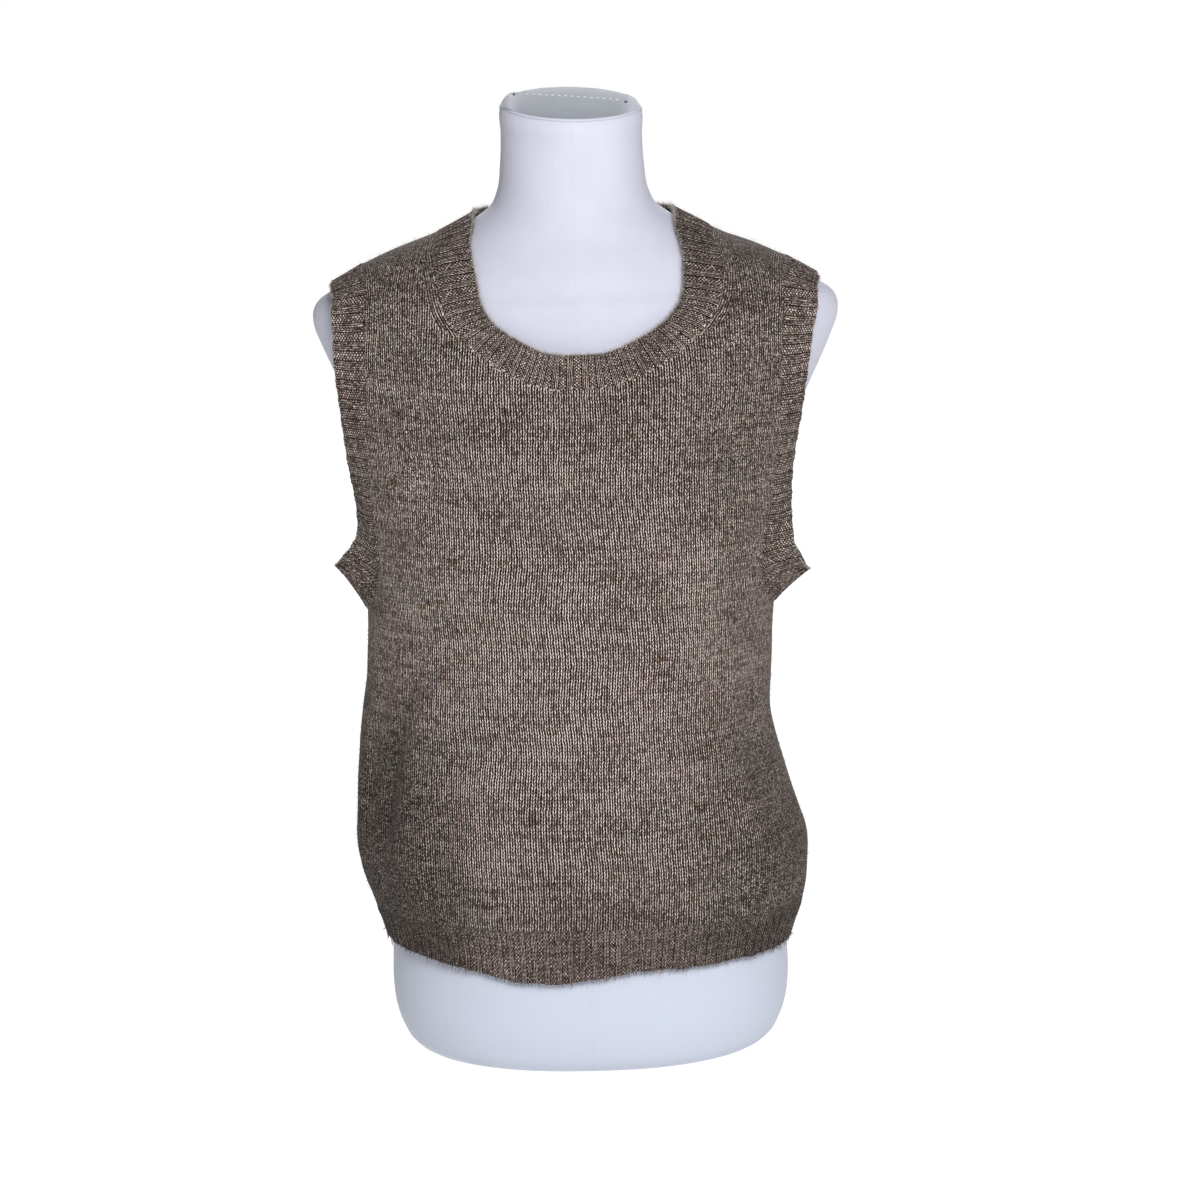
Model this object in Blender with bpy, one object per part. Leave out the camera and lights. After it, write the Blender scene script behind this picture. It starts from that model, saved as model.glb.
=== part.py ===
"""Knitted sweater vest on a limbless dress form.

The vest is made of the pieces that a maker knits and links together: a front and a back, each with
its ribbed hem, a ribbed neckband and two ribbed armbands. It is worn by a padded dress form that
ends above the neck and below the hips, and that stands on its flat base.

Frame: metres, +Z up, the origin on the floor under the form's middle, the front towards -Y. Left and
right are as seen from the front, so left is -X. Places on the cloth are given by their height and
by their angle round the body: 0 is the middle of the front, +90 the right side seam, 180 the
middle of the back.
"""

import math
from collections import namedtuple

import bmesh
import bpy
from mathutils import Vector

# Driving dimensions, in metres
WALL = 0.0022            # knitted cloth, inside to outside, between the ribs
RIB_RELIEF = 0.0009      # how far a rib stands out of the cloth
GAP = 0.0003             # between pieces that meet at a seam
HEM_SEAM_HEIGHT = 0.1110
UNDERARM_HEIGHT = 0.3170
SHOULDER_TIP_HEIGHT = 0.5635   # of the shoulder seam at the armband
SHOULDER_NECK_HEIGHT = 0.5830  # of the shoulder seam at the neckband
SQUARENESS = 2.2         # exponent of the body's rounded outline, 2 being an ellipse

# Mesh counts
RIBS_PER_STEP = 2        # ribs between two of a panel's edge points
SHOULDER_STEPS = 5       # across a shoulder strap
SIDE_STEPS = 7           # from the hem seam to the underarm
BAND_ROWS = 3            # strips from a band's seam to its free edge
HEM_ROWS = 2
FORM_COLUMNS = 36

# One rib and the furrow after it: share of the way along, share of the relief
RIB_PROFILE = ((0.0, 0.0), (0.2, 1.0), (0.6, 1.0), (0.8, 0.0))

SEAM_SAMPLES = 12        # between two rows of a seam, to measure its length
HEM_SEAM_ROWS = 7        # rows of the hem seam of one panel
NORMAL_TURN = 1.0        # degrees to each side of a point, to find the surface's direction there
NORMAL_RISE = 0.002      # and the height above and below it
SHARP_ANGLE = 40.0       # degrees between two faces that are shaded as an edge

# Steps along the edges of a panel: the armhole's hollow at the underarm, its upright stretch, its
# stretch along the shoulder strap, and the neckline between the two straps
PanelSteps = namedtuple("PanelSteps", "underarm upright strap neckline")
FRONT_STEPS = PanelSteps(3, 4, 5, 10)
BACK_STEPS = PanelSteps(3, 6, 2, 8)

Section = namedtuple("Section", "z left right front back")
FormSection = namedtuple("FormSection", "z side front back squareness")
Seam = namedtuple("Seam", "angle z out back up")
Fold = namedtuple("Fold", "angle top bottom lean width depth")

# The vest's outer face: reach from the middle line to each side, by height
VEST_SECTIONS = (
    Section(0.060, 0.1475, 0.1450, 0.1170, 0.1165),
    Section(0.078, 0.1482, 0.1462, 0.1180, 0.1175),
    Section(0.090, 0.1490, 0.1486, 0.1190, 0.1185),
    Section(0.102, 0.1508, 0.1518, 0.1205, 0.1190),
    Section(0.115, 0.1546, 0.1552, 0.1215, 0.1190),
    Section(0.130, 0.1600, 0.1565, 0.1220, 0.1180),
    Section(0.150, 0.1638, 0.1566, 0.1220, 0.1165),
    Section(0.170, 0.1636, 0.1508, 0.1215, 0.1140),
    Section(0.195, 0.1626, 0.1430, 0.1210, 0.1105),
    Section(0.220, 0.1604, 0.1357, 0.1210, 0.1070),
    Section(0.245, 0.1575, 0.1315, 0.1215, 0.1045),
    Section(0.270, 0.1542, 0.1328, 0.1225, 0.1035),
    Section(0.295, 0.1524, 0.1338, 0.1240, 0.1035),
    Section(0.320, 0.1516, 0.1352, 0.1255, 0.1045),
    Section(0.345, 0.1530, 0.1385, 0.1270, 0.1065),
    Section(0.370, 0.1560, 0.1435, 0.1280, 0.1085),
    Section(0.400, 0.1600, 0.1495, 0.1285, 0.1105),
    Section(0.430, 0.1645, 0.1550, 0.1270, 0.1125),
    Section(0.460, 0.1690, 0.1620, 0.1200, 0.1135),
    Section(0.490, 0.1740, 0.1695, 0.1085, 0.1125),
    Section(0.515, 0.1790, 0.1760, 0.0970, 0.1070),
    Section(0.535, 0.1795, 0.1790, 0.0870, 0.1005),
    Section(0.548, 0.1700, 0.1700, 0.0800, 0.0945),
    Section(0.5565, 0.1570, 0.1565, 0.0755, 0.0890),
    Section(0.5635, 0.1440, 0.1430, 0.0715, 0.0845),
    Section(0.570, 0.1300, 0.1275, 0.0680, 0.0800),
    Section(0.576, 0.1140, 0.1105, 0.0645, 0.0755),
    Section(0.583, 0.0950, 0.0960, 0.0605, 0.0700),
    Section(0.590, 0.0805, 0.0840, 0.0575, 0.0645),
    Section(0.597, 0.0675, 0.0725, 0.0545, 0.0600),
)

# The dress form: reach to the sides, front and back, and the exponent of its outline, by height
FORM_SECTIONS = (
    FormSection(0.000, 0.1120, 0.0850, 0.0850, 2.30),
    FormSection(0.003, 0.1205, 0.0925, 0.0925, 2.30),
    FormSection(0.009, 0.1290, 0.0995, 0.1000, 2.30),
    FormSection(0.019, 0.1352, 0.1050, 0.1060, 2.29),
    FormSection(0.032, 0.1395, 0.1090, 0.1100, 2.29),
    FormSection(0.047, 0.1414, 0.1110, 0.1125, 2.28),
    FormSection(0.068, 0.1412, 0.1120, 0.1135, 2.27),
    FormSection(0.095, 0.1400, 0.1115, 0.1130, 2.26),
    FormSection(0.130, 0.1365, 0.1080, 0.1085, 2.25),
    FormSection(0.170, 0.1300, 0.1025, 0.1000, 2.22),
    FormSection(0.210, 0.1225, 0.0970, 0.0905, 2.18),
    FormSection(0.250, 0.1170, 0.0940, 0.0850, 2.15),
    FormSection(0.290, 0.1180, 0.0965, 0.0850, 2.15),
    FormSection(0.330, 0.1235, 0.1040, 0.0895, 2.15),
    FormSection(0.370, 0.1310, 0.1130, 0.0950, 2.12),
    FormSection(0.400, 0.1380, 0.1190, 0.1000, 2.10),
    FormSection(0.425, 0.1440, 0.1200, 0.1030, 2.05),
    FormSection(0.450, 0.1525, 0.1150, 0.1050, 2.00),
    FormSection(0.475, 0.1635, 0.1050, 0.1060, 1.90),
    FormSection(0.492, 0.1715, 0.0975, 0.1045, 1.85),
    FormSection(0.507, 0.1780, 0.0905, 0.1010, 1.80),
    FormSection(0.5215, 0.1830, 0.0855, 0.0980, 1.80),
    FormSection(0.5325, 0.1823, 0.0805, 0.0945, 1.80),
    FormSection(0.5393, 0.1775, 0.0775, 0.0920, 1.80),
    FormSection(0.5440, 0.1700, 0.0745, 0.0890, 1.80),
    FormSection(0.5503, 0.1590, 0.0715, 0.0860, 1.82),
    FormSection(0.5578, 0.1460, 0.0680, 0.0820, 1.83),
    FormSection(0.5643, 0.1325, 0.0645, 0.0780, 1.85),
    FormSection(0.5710, 0.1160, 0.0610, 0.0735, 1.88),
    FormSection(0.5786, 0.0970, 0.0570, 0.0675, 1.91),
    FormSection(0.5866, 0.0800, 0.0535, 0.0610, 1.95),
    FormSection(0.5937, 0.0670, 0.0505, 0.0565, 1.98),
    FormSection(0.6005, 0.0580, 0.0480, 0.0520, 2.01),
    FormSection(0.610, 0.0530, 0.0460, 0.0490, 2.05),
    FormSection(0.629, 0.0500, 0.0445, 0.0470, 2.05),
    FormSection(0.651, 0.0490, 0.0440, 0.0465, 2.05),
    FormSection(0.6670, 0.0490, 0.0440, 0.0465, 2.05),
    FormSection(0.6695, 0.0480, 0.0430, 0.0455, 2.05),
)
NECK_TILT = 0.19         # rise of the neck's top per metre towards the back
NECK_LEAN = 0.035        # and its fall per metre towards the right
NECK_TILT_START = 0.600
NECK_CAP_THICKNESS = 0.0030
NECK_CAP_EDGE = 0.0010   # rounding of its rim

# Seams, from the body outwards: place on the vest, and where the band's free edge lies from there
# (out is away from the middle line, back is towards +Y)
NECK_FRONT_SEAM = (
    Seam(0.0, 0.4858, 0.0000, 0.0090, 0.0225),
    Seam(8.0, 0.4880, -0.0060, 0.0090, 0.0215),
    Seam(15.5, 0.4965, -0.0108, 0.0090, 0.0200),
    Seam(21.5, 0.5070, -0.0160, 0.0085, 0.0160),
    Seam(26.0, 0.5180, -0.0205, 0.0070, 0.0110),
    Seam(30.5, 0.5345, -0.0250, 0.0050, 0.0060),
    Seam(35.5, 0.5510, -0.0268, 0.0030, 0.0040),
    Seam(45.0, 0.5655, -0.0268, 0.0010, 0.0050),
    Seam(57.0, 0.5745, -0.0265, 0.0000, 0.0075),
    Seam(72.0, 0.5805, -0.0265, 0.0000, 0.0110),
    Seam(90.0, SHOULDER_NECK_HEIGHT, -0.0265, 0.0000, 0.0135),
)
NECK_BACK_SEAM = (
    Seam(90.0, SHOULDER_NECK_HEIGHT, -0.0265, 0.0000, 0.0135),
    Seam(110.0, 0.5815, -0.0258, -0.0020, 0.0145),
    Seam(128.0, 0.5790, -0.0235, -0.0060, 0.0165),
    Seam(140.0, 0.5760, -0.0195, -0.0085, 0.0185),
    Seam(153.0, 0.5725, -0.0125, -0.0090, 0.0210),
    Seam(169.0, 0.5680, -0.0050, -0.0085, 0.0225),
    Seam(180.0, 0.5660, 0.0000, -0.0085, 0.0230),
)
ARMHOLE_FRONT_SEAM = {
    "left": (
        Seam(90.0, SHOULDER_TIP_HEIGHT, 0.0240, 0.0000, -0.0145),
        Seam(70.0, 0.5590, 0.0245, 0.0020, -0.0110),
        Seam(56.0, 0.5480, 0.0240, 0.0080, -0.0050),
        Seam(51.5, 0.5290, 0.0230, 0.0110, -0.0020),
        Seam(53.5, 0.5000, 0.0225, 0.0130, 0.0000),
        Seam(57.5, 0.4650, 0.0180, 0.0170, 0.0000),
        Seam(60.5, 0.4300, 0.0150, 0.0200, 0.0000),
        Seam(62.5, 0.3970, 0.0120, 0.0220, 0.0010),
        Seam(62.5, 0.3700, 0.0150, 0.0230, 0.0060),
        Seam(65.0, 0.3480, 0.0230, 0.0220, 0.0150),
        Seam(75.0, 0.3270, 0.0240, 0.0150, 0.0270),
        Seam(90.0, UNDERARM_HEIGHT, 0.0205, 0.0000, 0.0345),
    ),
    "right": (
        Seam(90.0, SHOULDER_TIP_HEIGHT, 0.0255, 0.0000, -0.0161),
        Seam(70.0, 0.5590, 0.0250, 0.0020, -0.0130),
        Seam(56.0, 0.5480, 0.0240, 0.0080, -0.0060),
        Seam(51.5, 0.5290, 0.0225, 0.0110, -0.0030),
        Seam(53.5, 0.5000, 0.0200, 0.0140, 0.0000),
        Seam(57.5, 0.4650, 0.0160, 0.0180, 0.0000),
        Seam(60.5, 0.4300, 0.0130, 0.0210, 0.0000),
        Seam(61.0, 0.3970, 0.0145, 0.0210, 0.0000),
        Seam(59.5, 0.3680, 0.0215, 0.0210, 0.0010),
        Seam(63.0, 0.3440, 0.0270, 0.0240, 0.0080),
        Seam(74.0, 0.3250, 0.0270, 0.0170, 0.0190),
        Seam(90.0, UNDERARM_HEIGHT, 0.0245, 0.0000, 0.0240),
    ),
}
ARMHOLE_BACK_SEAM = (
    Seam(90.0, SHOULDER_TIP_HEIGHT, 0.0248, 0.0000, -0.0155),
    Seam(110.0, 0.5590, 0.0248, -0.0020, -0.0120),
    Seam(125.0, 0.5480, 0.0240, -0.0080, -0.0060),
    Seam(130.0, 0.5290, 0.0225, -0.0110, -0.0020),
    Seam(128.0, 0.5000, 0.0210, -0.0130, 0.0000),
    Seam(125.0, 0.4650, 0.0180, -0.0160, 0.0000),
    Seam(122.0, 0.4300, 0.0160, -0.0190, 0.0000),
    Seam(119.0, 0.3950, 0.0160, -0.0200, 0.0020),
    Seam(116.0, 0.3650, 0.0200, -0.0190, 0.0080),
    Seam(109.0, 0.3380, 0.0235, -0.0150, 0.0190),
    Seam(90.0, UNDERARM_HEIGHT, 0.0225, 0.0000, 0.0292),
)
NECK_LEFT_TURN = 3.6     # degrees by which the neckline sits nearer the middle on the left
BAND_LEVEL_SHARE = 0.40  # how far a band goes on flat from its seam before it turns to its free edge

# The hem's lower edge: its height at angles round the body
HEM_EDGE_ANGLES = (-180.0, -130.0, -90.0, -60.0, -35.0, -9.0, 3.0, 18.0, 40.0, 90.0, 130.0, 180.0)
HEM_EDGE_HEIGHTS = (
    0.0790, 0.0820, 0.0850, 0.0860, 0.0810, 0.0720, 0.0755, 0.0785, 0.0805, 0.0785, 0.0800, 0.0790
)

# Soft folds of the hanging cloth: place round the body at mid-length, upper and lower end, degrees
# that the upper end leans, half-width and height (negative is a trough), in metres
FOLDS = (
    Fold(-66.0, 0.330, 0.120, 10.0, 0.016, -0.0034),
    Fold(-49.0, 0.290, 0.110, 14.0, 0.015, 0.0026),
    Fold(-35.0, 0.240, 0.100, 10.0, 0.014, -0.0022),
    Fold(-29.0, 0.125, 0.050, -4.0, 0.005, -0.0014),
    Fold(47.0, 0.260, 0.100, -12.0, 0.016, 0.0026),
    Fold(62.0, 0.350, 0.130, -10.0, 0.018, -0.0034),
    Fold(30.0, 0.230, 0.110, -8.0, 0.014, -0.0018),
    Fold(180.0, 0.400, 0.120, 0.0, 0.024, -0.0036),
    Fold(152.0, 0.380, 0.110, 6.0, 0.016, 0.0028),
    Fold(-150.0, 0.360, 0.100, -8.0, 0.017, 0.0030),
    Fold(124.0, 0.330, 0.120, -6.0, 0.016, -0.0028),
    Fold(-121.0, 0.320, 0.110, 6.0, 0.015, -0.0030),
)
FOLD_RADIUS = 0.14       # of the body, to turn an angle from a fold's middle into a distance

# Colours: linear RGB
KNIT_COLOUR = (0.115, 0.088, 0.070)
RIB_COLOUR = (0.103, 0.078, 0.062)
FORM_COLOUR = (0.73, 0.73, 0.86)
CAP_COLOUR = (0.60, 0.61, 0.65)


def clear_scene():
    for obj in list(bpy.data.objects):
        bpy.data.objects.remove(obj, do_unlink=True)


def make_collection(name):
    collection = bpy.data.collections.new(name)
    bpy.context.scene.collection.children.link(collection)
    return collection


def make_material(name, colour, roughness):
    material = bpy.data.materials.new(name)
    material.use_nodes = True
    shader = material.node_tree.nodes["Principled BSDF"]
    shader.inputs["Base Color"].default_value = (*colour, 1.0)
    shader.inputs["Roughness"].default_value = roughness
    shader.inputs["Metallic"].default_value = 0.0
    material.diffuse_color = (*colour, 1.0)
    return material


def add_object(name, mesh_data, material, collection):
    """Wrap a bmesh as one named object with its faces pointing out."""
    bmesh.ops.recalc_face_normals(mesh_data, faces=mesh_data.faces)
    mesh = bpy.data.meshes.new(name)
    mesh_data.to_mesh(mesh)
    mesh_data.free()
    mesh.shade_smooth()
    mesh.set_sharp_from_angle(angle=math.radians(SHARP_ANGLE))
    mesh.materials.append(material)
    obj = bpy.data.objects.new(name, mesh)
    collection.objects.link(obj)
    return obj


def hermite(before, start, end, after, spans, share):
    """Smooth value between start and end, given the spans of parameter before, between and after."""
    slope_start = ((end - start) * spans[0] / spans[1] + (start - before) * spans[1] / spans[0]) / (
        spans[0] + spans[1]
    )
    slope_end = ((after - end) * spans[1] / spans[2] + (end - start) * spans[2] / spans[1]) / (
        spans[1] + spans[2]
    )
    square = share * share
    cube = square * share
    return (
        start * (2 * cube - 3 * square + 1)
        + slope_start * spans[1] * (cube - 2 * square + share)
        + end * (3 * square - 2 * cube)
        + slope_end * spans[1] * (cube - square)
    )


def smooth_between(keys, values, key):
    """Smooth curve through values at rising keys, read at one key. Values are numbers or vectors."""
    last = len(keys) - 1
    key = min(max(key, keys[0]), keys[last])
    index = 0
    while index < last - 1 and keys[index + 1] < key:
        index += 1
    spans = [keys[index + 1] - keys[index]] * 3
    before = values[index] * 2 - values[index + 1]
    after = values[index + 1] * 2 - values[index]
    if index > 0:
        before = values[index - 1]
        spans[0] = keys[index] - keys[index - 1]
    if index + 2 <= last:
        after = values[index + 2]
        spans[2] = keys[index + 2] - keys[index + 1]
    share = (key - keys[index]) / spans[1]
    return hermite(before, values[index], values[index + 1], after, spans, share)


def section_at(table, height):
    heights = [row.z for row in table]
    columns = [smooth_between(heights, [row[i] for row in table], height) for i in range(1, 5)]
    return Section(height, *columns)


def point_on_section(section, angle, squareness):
    """Point of a rounded body outline at an angle round it."""
    turn = math.radians(angle)
    across = abs(math.sin(turn)) ** (2 / squareness)
    along = abs(math.cos(turn)) ** (2 / squareness)
    x = across * section.right if math.sin(turn) >= 0 else -across * section.left
    y = -along * section.front if math.cos(turn) >= 0 else along * section.back
    return Vector((x, y, section.z))


def normal_from(point_at, angle, height):
    """Outward normal of a surface given by angle and height."""
    across = point_at(angle + NORMAL_TURN, height) - point_at(angle - NORMAL_TURN, height)
    upward = point_at(angle, height + NORMAL_RISE) - point_at(angle, height - NORMAL_RISE)
    return across.cross(upward).normalized()


def smooth_vest_point(angle, height):
    return point_on_section(section_at(VEST_SECTIONS, height), angle, SQUARENESS)


def fold_height(angle, height):
    """Height of the folds over the smooth cloth."""
    total = 0.0
    for fold in FOLDS:
        share = (height - fold.bottom) / (fold.top - fold.bottom)
        if not 0.0 < share < 1.0:
            continue
        middle = fold.angle + fold.lean * (share - 0.5)
        away = (angle - middle + 180.0) % 360.0 - 180.0
        distance = math.radians(away) * FOLD_RADIUS / fold.width
        total += fold.depth * math.sin(math.pi * share) ** 1.5 * math.exp(-distance * distance)
    return total


def vest_point(angle, height):
    point = smooth_vest_point(angle, height)
    raised = fold_height(angle, height)
    if raised == 0.0:
        return point
    return point + normal_from(smooth_vest_point, angle, height) * raised


def vest_normal(angle, height):
    return normal_from(vest_point, angle, height)


def walk_seam(rows, steps):
    """Points at equal steps along a seam, each a Seam row read from the smooth curve through rows."""
    samples = SEAM_SAMPLES * len(rows)
    keys = [float(i) for i in range(len(rows))]
    columns = [[row[i] for row in rows] for i in range(5)]
    dense = []
    for i in range(samples + 1):
        key = keys[-1] * i / samples
        dense.append(Seam(*[smooth_between(keys, column, key) for column in columns]))
    lengths = [0.0]
    for first, second in zip(dense, dense[1:]):
        step = smooth_vest_point(second.angle, second.z) - smooth_vest_point(first.angle, first.z)
        lengths.append(lengths[-1] + step.length)
    walked = []
    for i in range(steps + 1):
        wanted = lengths[-1] * i / steps
        index = 0
        while index < samples - 1 and lengths[index + 1] < wanted:
            index += 1
        share = (wanted - lengths[index]) / (lengths[index + 1] - lengths[index])
        pair = zip(dense[index], dense[index + 1])
        walked.append(Seam(*[start + (end - start) * share for start, end in pair]))
    return walked


def side_of(rows, side):
    """Seam rows given for the right side, turned over for the left."""
    if side == "right":
        return list(rows)
    return [Seam(-row.angle, row.z, row.out, row.back, row.up) for row in rows]


def hem_angles(front):
    """Angles at equal steps along the hem seam of one panel, left to right or right to left."""
    start = -90.0 if front else 90.0
    step = 180.0 / (HEM_SEAM_ROWS - 1)
    rows = [Seam(start + step * i, HEM_SEAM_HEIGHT, 0.0, 0.0, 0.0) for i in range(HEM_SEAM_ROWS)]
    counts = FRONT_STEPS if front else BACK_STEPS
    steps = 2 * (counts.underarm + SHOULDER_STEPS) + counts.neckline
    return [row.angle for row in walk_seam(rows, steps)]


def armhole_rows(side, front):
    """One armhole's seam from the underarm up to the shoulder, on the front or the back panel."""
    if front:
        rows = side_of(ARMHOLE_FRONT_SEAM[side], side)
        counts = FRONT_STEPS
    else:
        rows = side_of(ARMHOLE_BACK_SEAM, side)
        counts = BACK_STEPS
    return walk_seam(rows[::-1], counts.underarm + counts.upright + counts.strap)


def neck_rows(front):
    """The neck seam of one panel: left to right on the front, and right to left on the back."""
    if front:
        left = []
        for row in NECK_FRONT_SEAM[1:]:
            turn = NECK_LEFT_TURN * math.sin(math.radians(2 * row.angle))
            left.append(row._replace(angle=turn - row.angle))
        rows = left[::-1] + list(NECK_FRONT_SEAM)
        counts = FRONT_STEPS
    else:
        beyond = [row._replace(angle=360.0 - row.angle) for row in NECK_BACK_SEAM[:-1]]
        rows = list(NECK_BACK_SEAM) + beyond[::-1]
        counts = BACK_STEPS
    return walk_seam(rows, counts.neckline + 2 * counts.strap)


def blend(first, last, share):
    return tuple(a * (1 - share) + b * share for a, b in zip(first, last))


def line_between(first, last, steps):
    return [blend(first, last, i / steps) for i in range(steps + 1)]


def armhole_edge(side, front):
    """An armhole's seam from the underarm to the shoulder, as (angle, height) pairs."""
    edge = []
    for row in armhole_rows(side, front):
        # on the back panel angles go on past 180
        turned = row.angle if front or row.angle > 0 else row.angle + 360.0
        edge.append((turned, row.z))
    return edge


def filled_between(first, last, bottom, top):
    """Rows of (angle, height) pairs between a patch's first and last sides, bottom and top."""
    columns = len(bottom) - 1
    rise = [pair[1] - first[0][1] for pair in first]
    net = []
    for first_pair, last_pair, climbed in zip(first, last, rise):
        climb = climbed / rise[-1]
        row = []
        for i in range(columns + 1):
            share = i / columns
            pair = blend(first_pair, last_pair, share)
            top_line = blend(top[0], top[-1], share)
            bottom_line = blend(bottom[0], bottom[-1], share)
            bent = []
            for axis in (0, 1):
                bend = climb * (top[i][axis] - top_line[axis])
                bend += (1 - climb) * (bottom[i][axis] - bottom_line[axis])
                bent.append(pair[axis] + bend)
            row.append(tuple(bent))
        net.append(row)
    return [list(bottom)] + net[1:-1] + [list(top)]


def panel_patches(front):
    """A panel as four nets of (angle, height) pairs: its body, chest and two shoulder straps."""
    counts = FRONT_STEPS if front else BACK_STEPS
    hem = [(angle, HEM_SEAM_HEIGHT) for angle in hem_angles(front)]
    neck = [(row.angle, row.z) for row in neck_rows(front)]
    sides = ("left", "right") if front else ("right", "left")
    first_armhole, last_armhole = (armhole_edge(side, front) for side in sides)
    first_side = line_between(hem[0], first_armhole[0], SIDE_STEPS)
    last_side = line_between(hem[-1], last_armhole[0], SIDE_STEPS)
    low = counts.underarm
    high = low + counts.upright
    first_neck = neck[: counts.strap + 1][::-1]
    last_neck = neck[-counts.strap - 1 :]
    first_base = line_between(first_armhole[high], first_neck[0], SHOULDER_STEPS)
    last_base = line_between(last_neck[0], last_armhole[high], SHOULDER_STEPS)
    neckline = neck[counts.strap : -counts.strap]
    chest_top = first_base[:-1] + neckline + last_base[1:]
    chest_base = line_between(first_armhole[low], last_armhole[low], len(chest_top) - 1)
    body_top = first_armhole[:low] + chest_base + last_armhole[:low][::-1]
    chest_sides = first_armhole[low : high + 1], last_armhole[low : high + 1]
    patches = [
        filled_between(first_side, last_side, hem, body_top),
        filled_between(*chest_sides, chest_base, chest_top),
    ]
    for outside, inside in ((first_armhole[high:], first_neck), (last_neck, last_armhole[high:])):
        patches.append([line_between(a, b, SHOULDER_STEPS) for a, b in zip(outside, inside)])
    return patches


def add_grid_faces(mesh, grid):
    for low, high in zip(grid, grid[1:]):
        for i in range(len(low) - 1):
            mesh.faces.new((low[i], low[i + 1], high[i + 1], high[i]))


def panel_point(angle, height, front):
    """A panel's outer point, clear of the other panel at the side and shoulder seams."""
    point = vest_point(angle, height)
    if front:
        point.y = min(point.y, -GAP / 2)
    else:
        point.y = max(point.y, GAP / 2)
    return point


def add_panel(name, front, material, collection):
    """A knitted panel: a wall of even thickness on the vest's outer face."""
    mesh = bmesh.new()
    outer = {}
    inner = {}
    for patch in panel_patches(front):
        for pair in (pair for row in patch for pair in row):
            if pair in outer:
                continue
            point = panel_point(*pair, front)
            outer[pair] = mesh.verts.new(point)
            inner[pair] = mesh.verts.new(point - vest_normal(*pair) * WALL)
        add_grid_faces(mesh, [[outer[pair] for pair in row] for row in patch])
        add_grid_faces(mesh, [[inner[pair] for pair in row] for row in patch])
    inner_of = {outer[pair]: inner[pair] for pair in outer}
    rim = [edge for edge in mesh.edges if len(edge.link_faces) == 1 and edge.verts[0] in inner_of]
    for edge in rim:
        start, end = edge.verts
        mesh.faces.new((start, end, inner_of[end], inner_of[start]))
    return add_object(name, mesh, material, collection)


def spread(line, closed, smooth):
    """Points at each rib's corners along a line of points given at the panel's edge points."""
    count = len(line)
    spread_line = []
    segments = count if closed else count - 1
    for k in range(segments):
        start = line[k]
        end = line[(k + 1) % count]
        before = line[k - 1] if closed or k > 0 else start * 2 - end
        after = line[(k + 2) % count] if closed or k + 2 < count else end * 2 - start
        for rib in range(RIBS_PER_STEP):
            for share, _ in RIB_PROFILE:
                at = (rib + share) / RIBS_PER_STEP
                if smooth:
                    spread_line.append(hermite(before, start, end, after, (1.0, 1.0, 1.0), at))
                else:
                    spread_line.append(start.lerp(end, at))
    if not closed:
        spread_line.append(line[-1].copy())
    return spread_line


def add_ribbed_strip(name, rows, closed, material, collection):
    """A ribbed band. Each of its rows is a line of points and a line of normals; the ribs run
    from row to row, raised in the outer face over a plain inside."""
    corners = len(RIB_PROFILE)
    mesh = bmesh.new()
    outer = []
    inner = []
    for index, (points, normals) in enumerate(rows):
        smooth = index > 0
        places = spread(points, closed, smooth)
        directions = [normal.normalized() for normal in spread(normals, closed, smooth)]
        outer_row = []
        inner_row = []
        for k, (place, direction) in enumerate(zip(places, directions)):
            raised = RIB_PROFILE[k % corners][1] * RIB_RELIEF
            outer_row.append(mesh.verts.new(place + direction * raised))
            if k % corners == 0:
                inner_row.append(mesh.verts.new(place - direction * WALL))
        if closed:
            outer_row.append(outer_row[0])
            inner_row.append(inner_row[0])
        outer.append(outer_row)
        inner.append(inner_row)
    add_grid_faces(mesh, outer)
    add_grid_faces(mesh, inner)
    for edge in (0, -1):
        for rib in range(len(inner[edge]) - 1):
            rim = outer[edge][rib * corners : (rib + 1) * corners + 1]
            mesh.faces.new(rim + [inner[edge][rib + 1], inner[edge][rib]])
    if not closed:
        for end in (0, -1):
            add_grid_faces(mesh, [[row[end] for row in outer], [row[end] for row in inner]])
    return add_object(name, mesh, material, collection)


def band_rows(seam, side_sign):
    """Rows of points and normals of a closed band, from its seam to its free edge.

    side_sign is +1 or -1 where "out" is towards +X or -X, or None to take it from each place."""
    count = len(seam)
    starts = [vest_point(row.angle, row.z) for row in seam]
    start_normals = [vest_normal(row.angle, row.z) for row in seam]
    rows = [[] for _ in range(BAND_ROWS + 1)]
    for k in range(count):
        row = seam[k]
        start = starts[k]
        sign = side_sign if side_sign else math.copysign(1.0, start.x)
        reach = Vector((sign * row.out, row.back, row.up))
        along = starts[(k + 1) % count] - starts[k - 1]
        level = start_normals[k].cross(along).normalized()
        if level.dot(reach) < 0:
            level.negate()
        bend = start + level * reach.length * BAND_LEVEL_SHARE
        free = start + reach
        first = start + level * GAP
        for i in range(BAND_ROWS + 1):
            share = i / BAND_ROWS
            rest = 1 - share
            rows[i].append(first * rest * rest + bend * 2 * rest * share + free * share * share)
    finished = []
    for i, line in enumerate(rows):
        normals = []
        for k in range(count):
            along = line[(k + 1) % count] - line[k - 1]
            below = rows[max(i - 1, 0)][k]
            above = rows[min(i + 1, BAND_ROWS)][k]
            normal = along.cross(above - below).normalized()
            if normal.dot(start_normals[k]) < 0:
                normal.negate()
            normals.append(start_normals[k] if i == 0 else normal)
        finished.append((line, normals))
    return finished


def armband_seam(side):
    """The whole armhole seam as a loop: underarm, front, shoulder, back."""
    front = armhole_rows(side, True)
    back = armhole_rows(side, False)
    return front + back[::-1][1:-1]


def neckband_seam():
    """The whole neck seam as a loop: left shoulder, front, right shoulder, back."""
    return neck_rows(True) + neck_rows(False)[1:-1]


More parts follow.
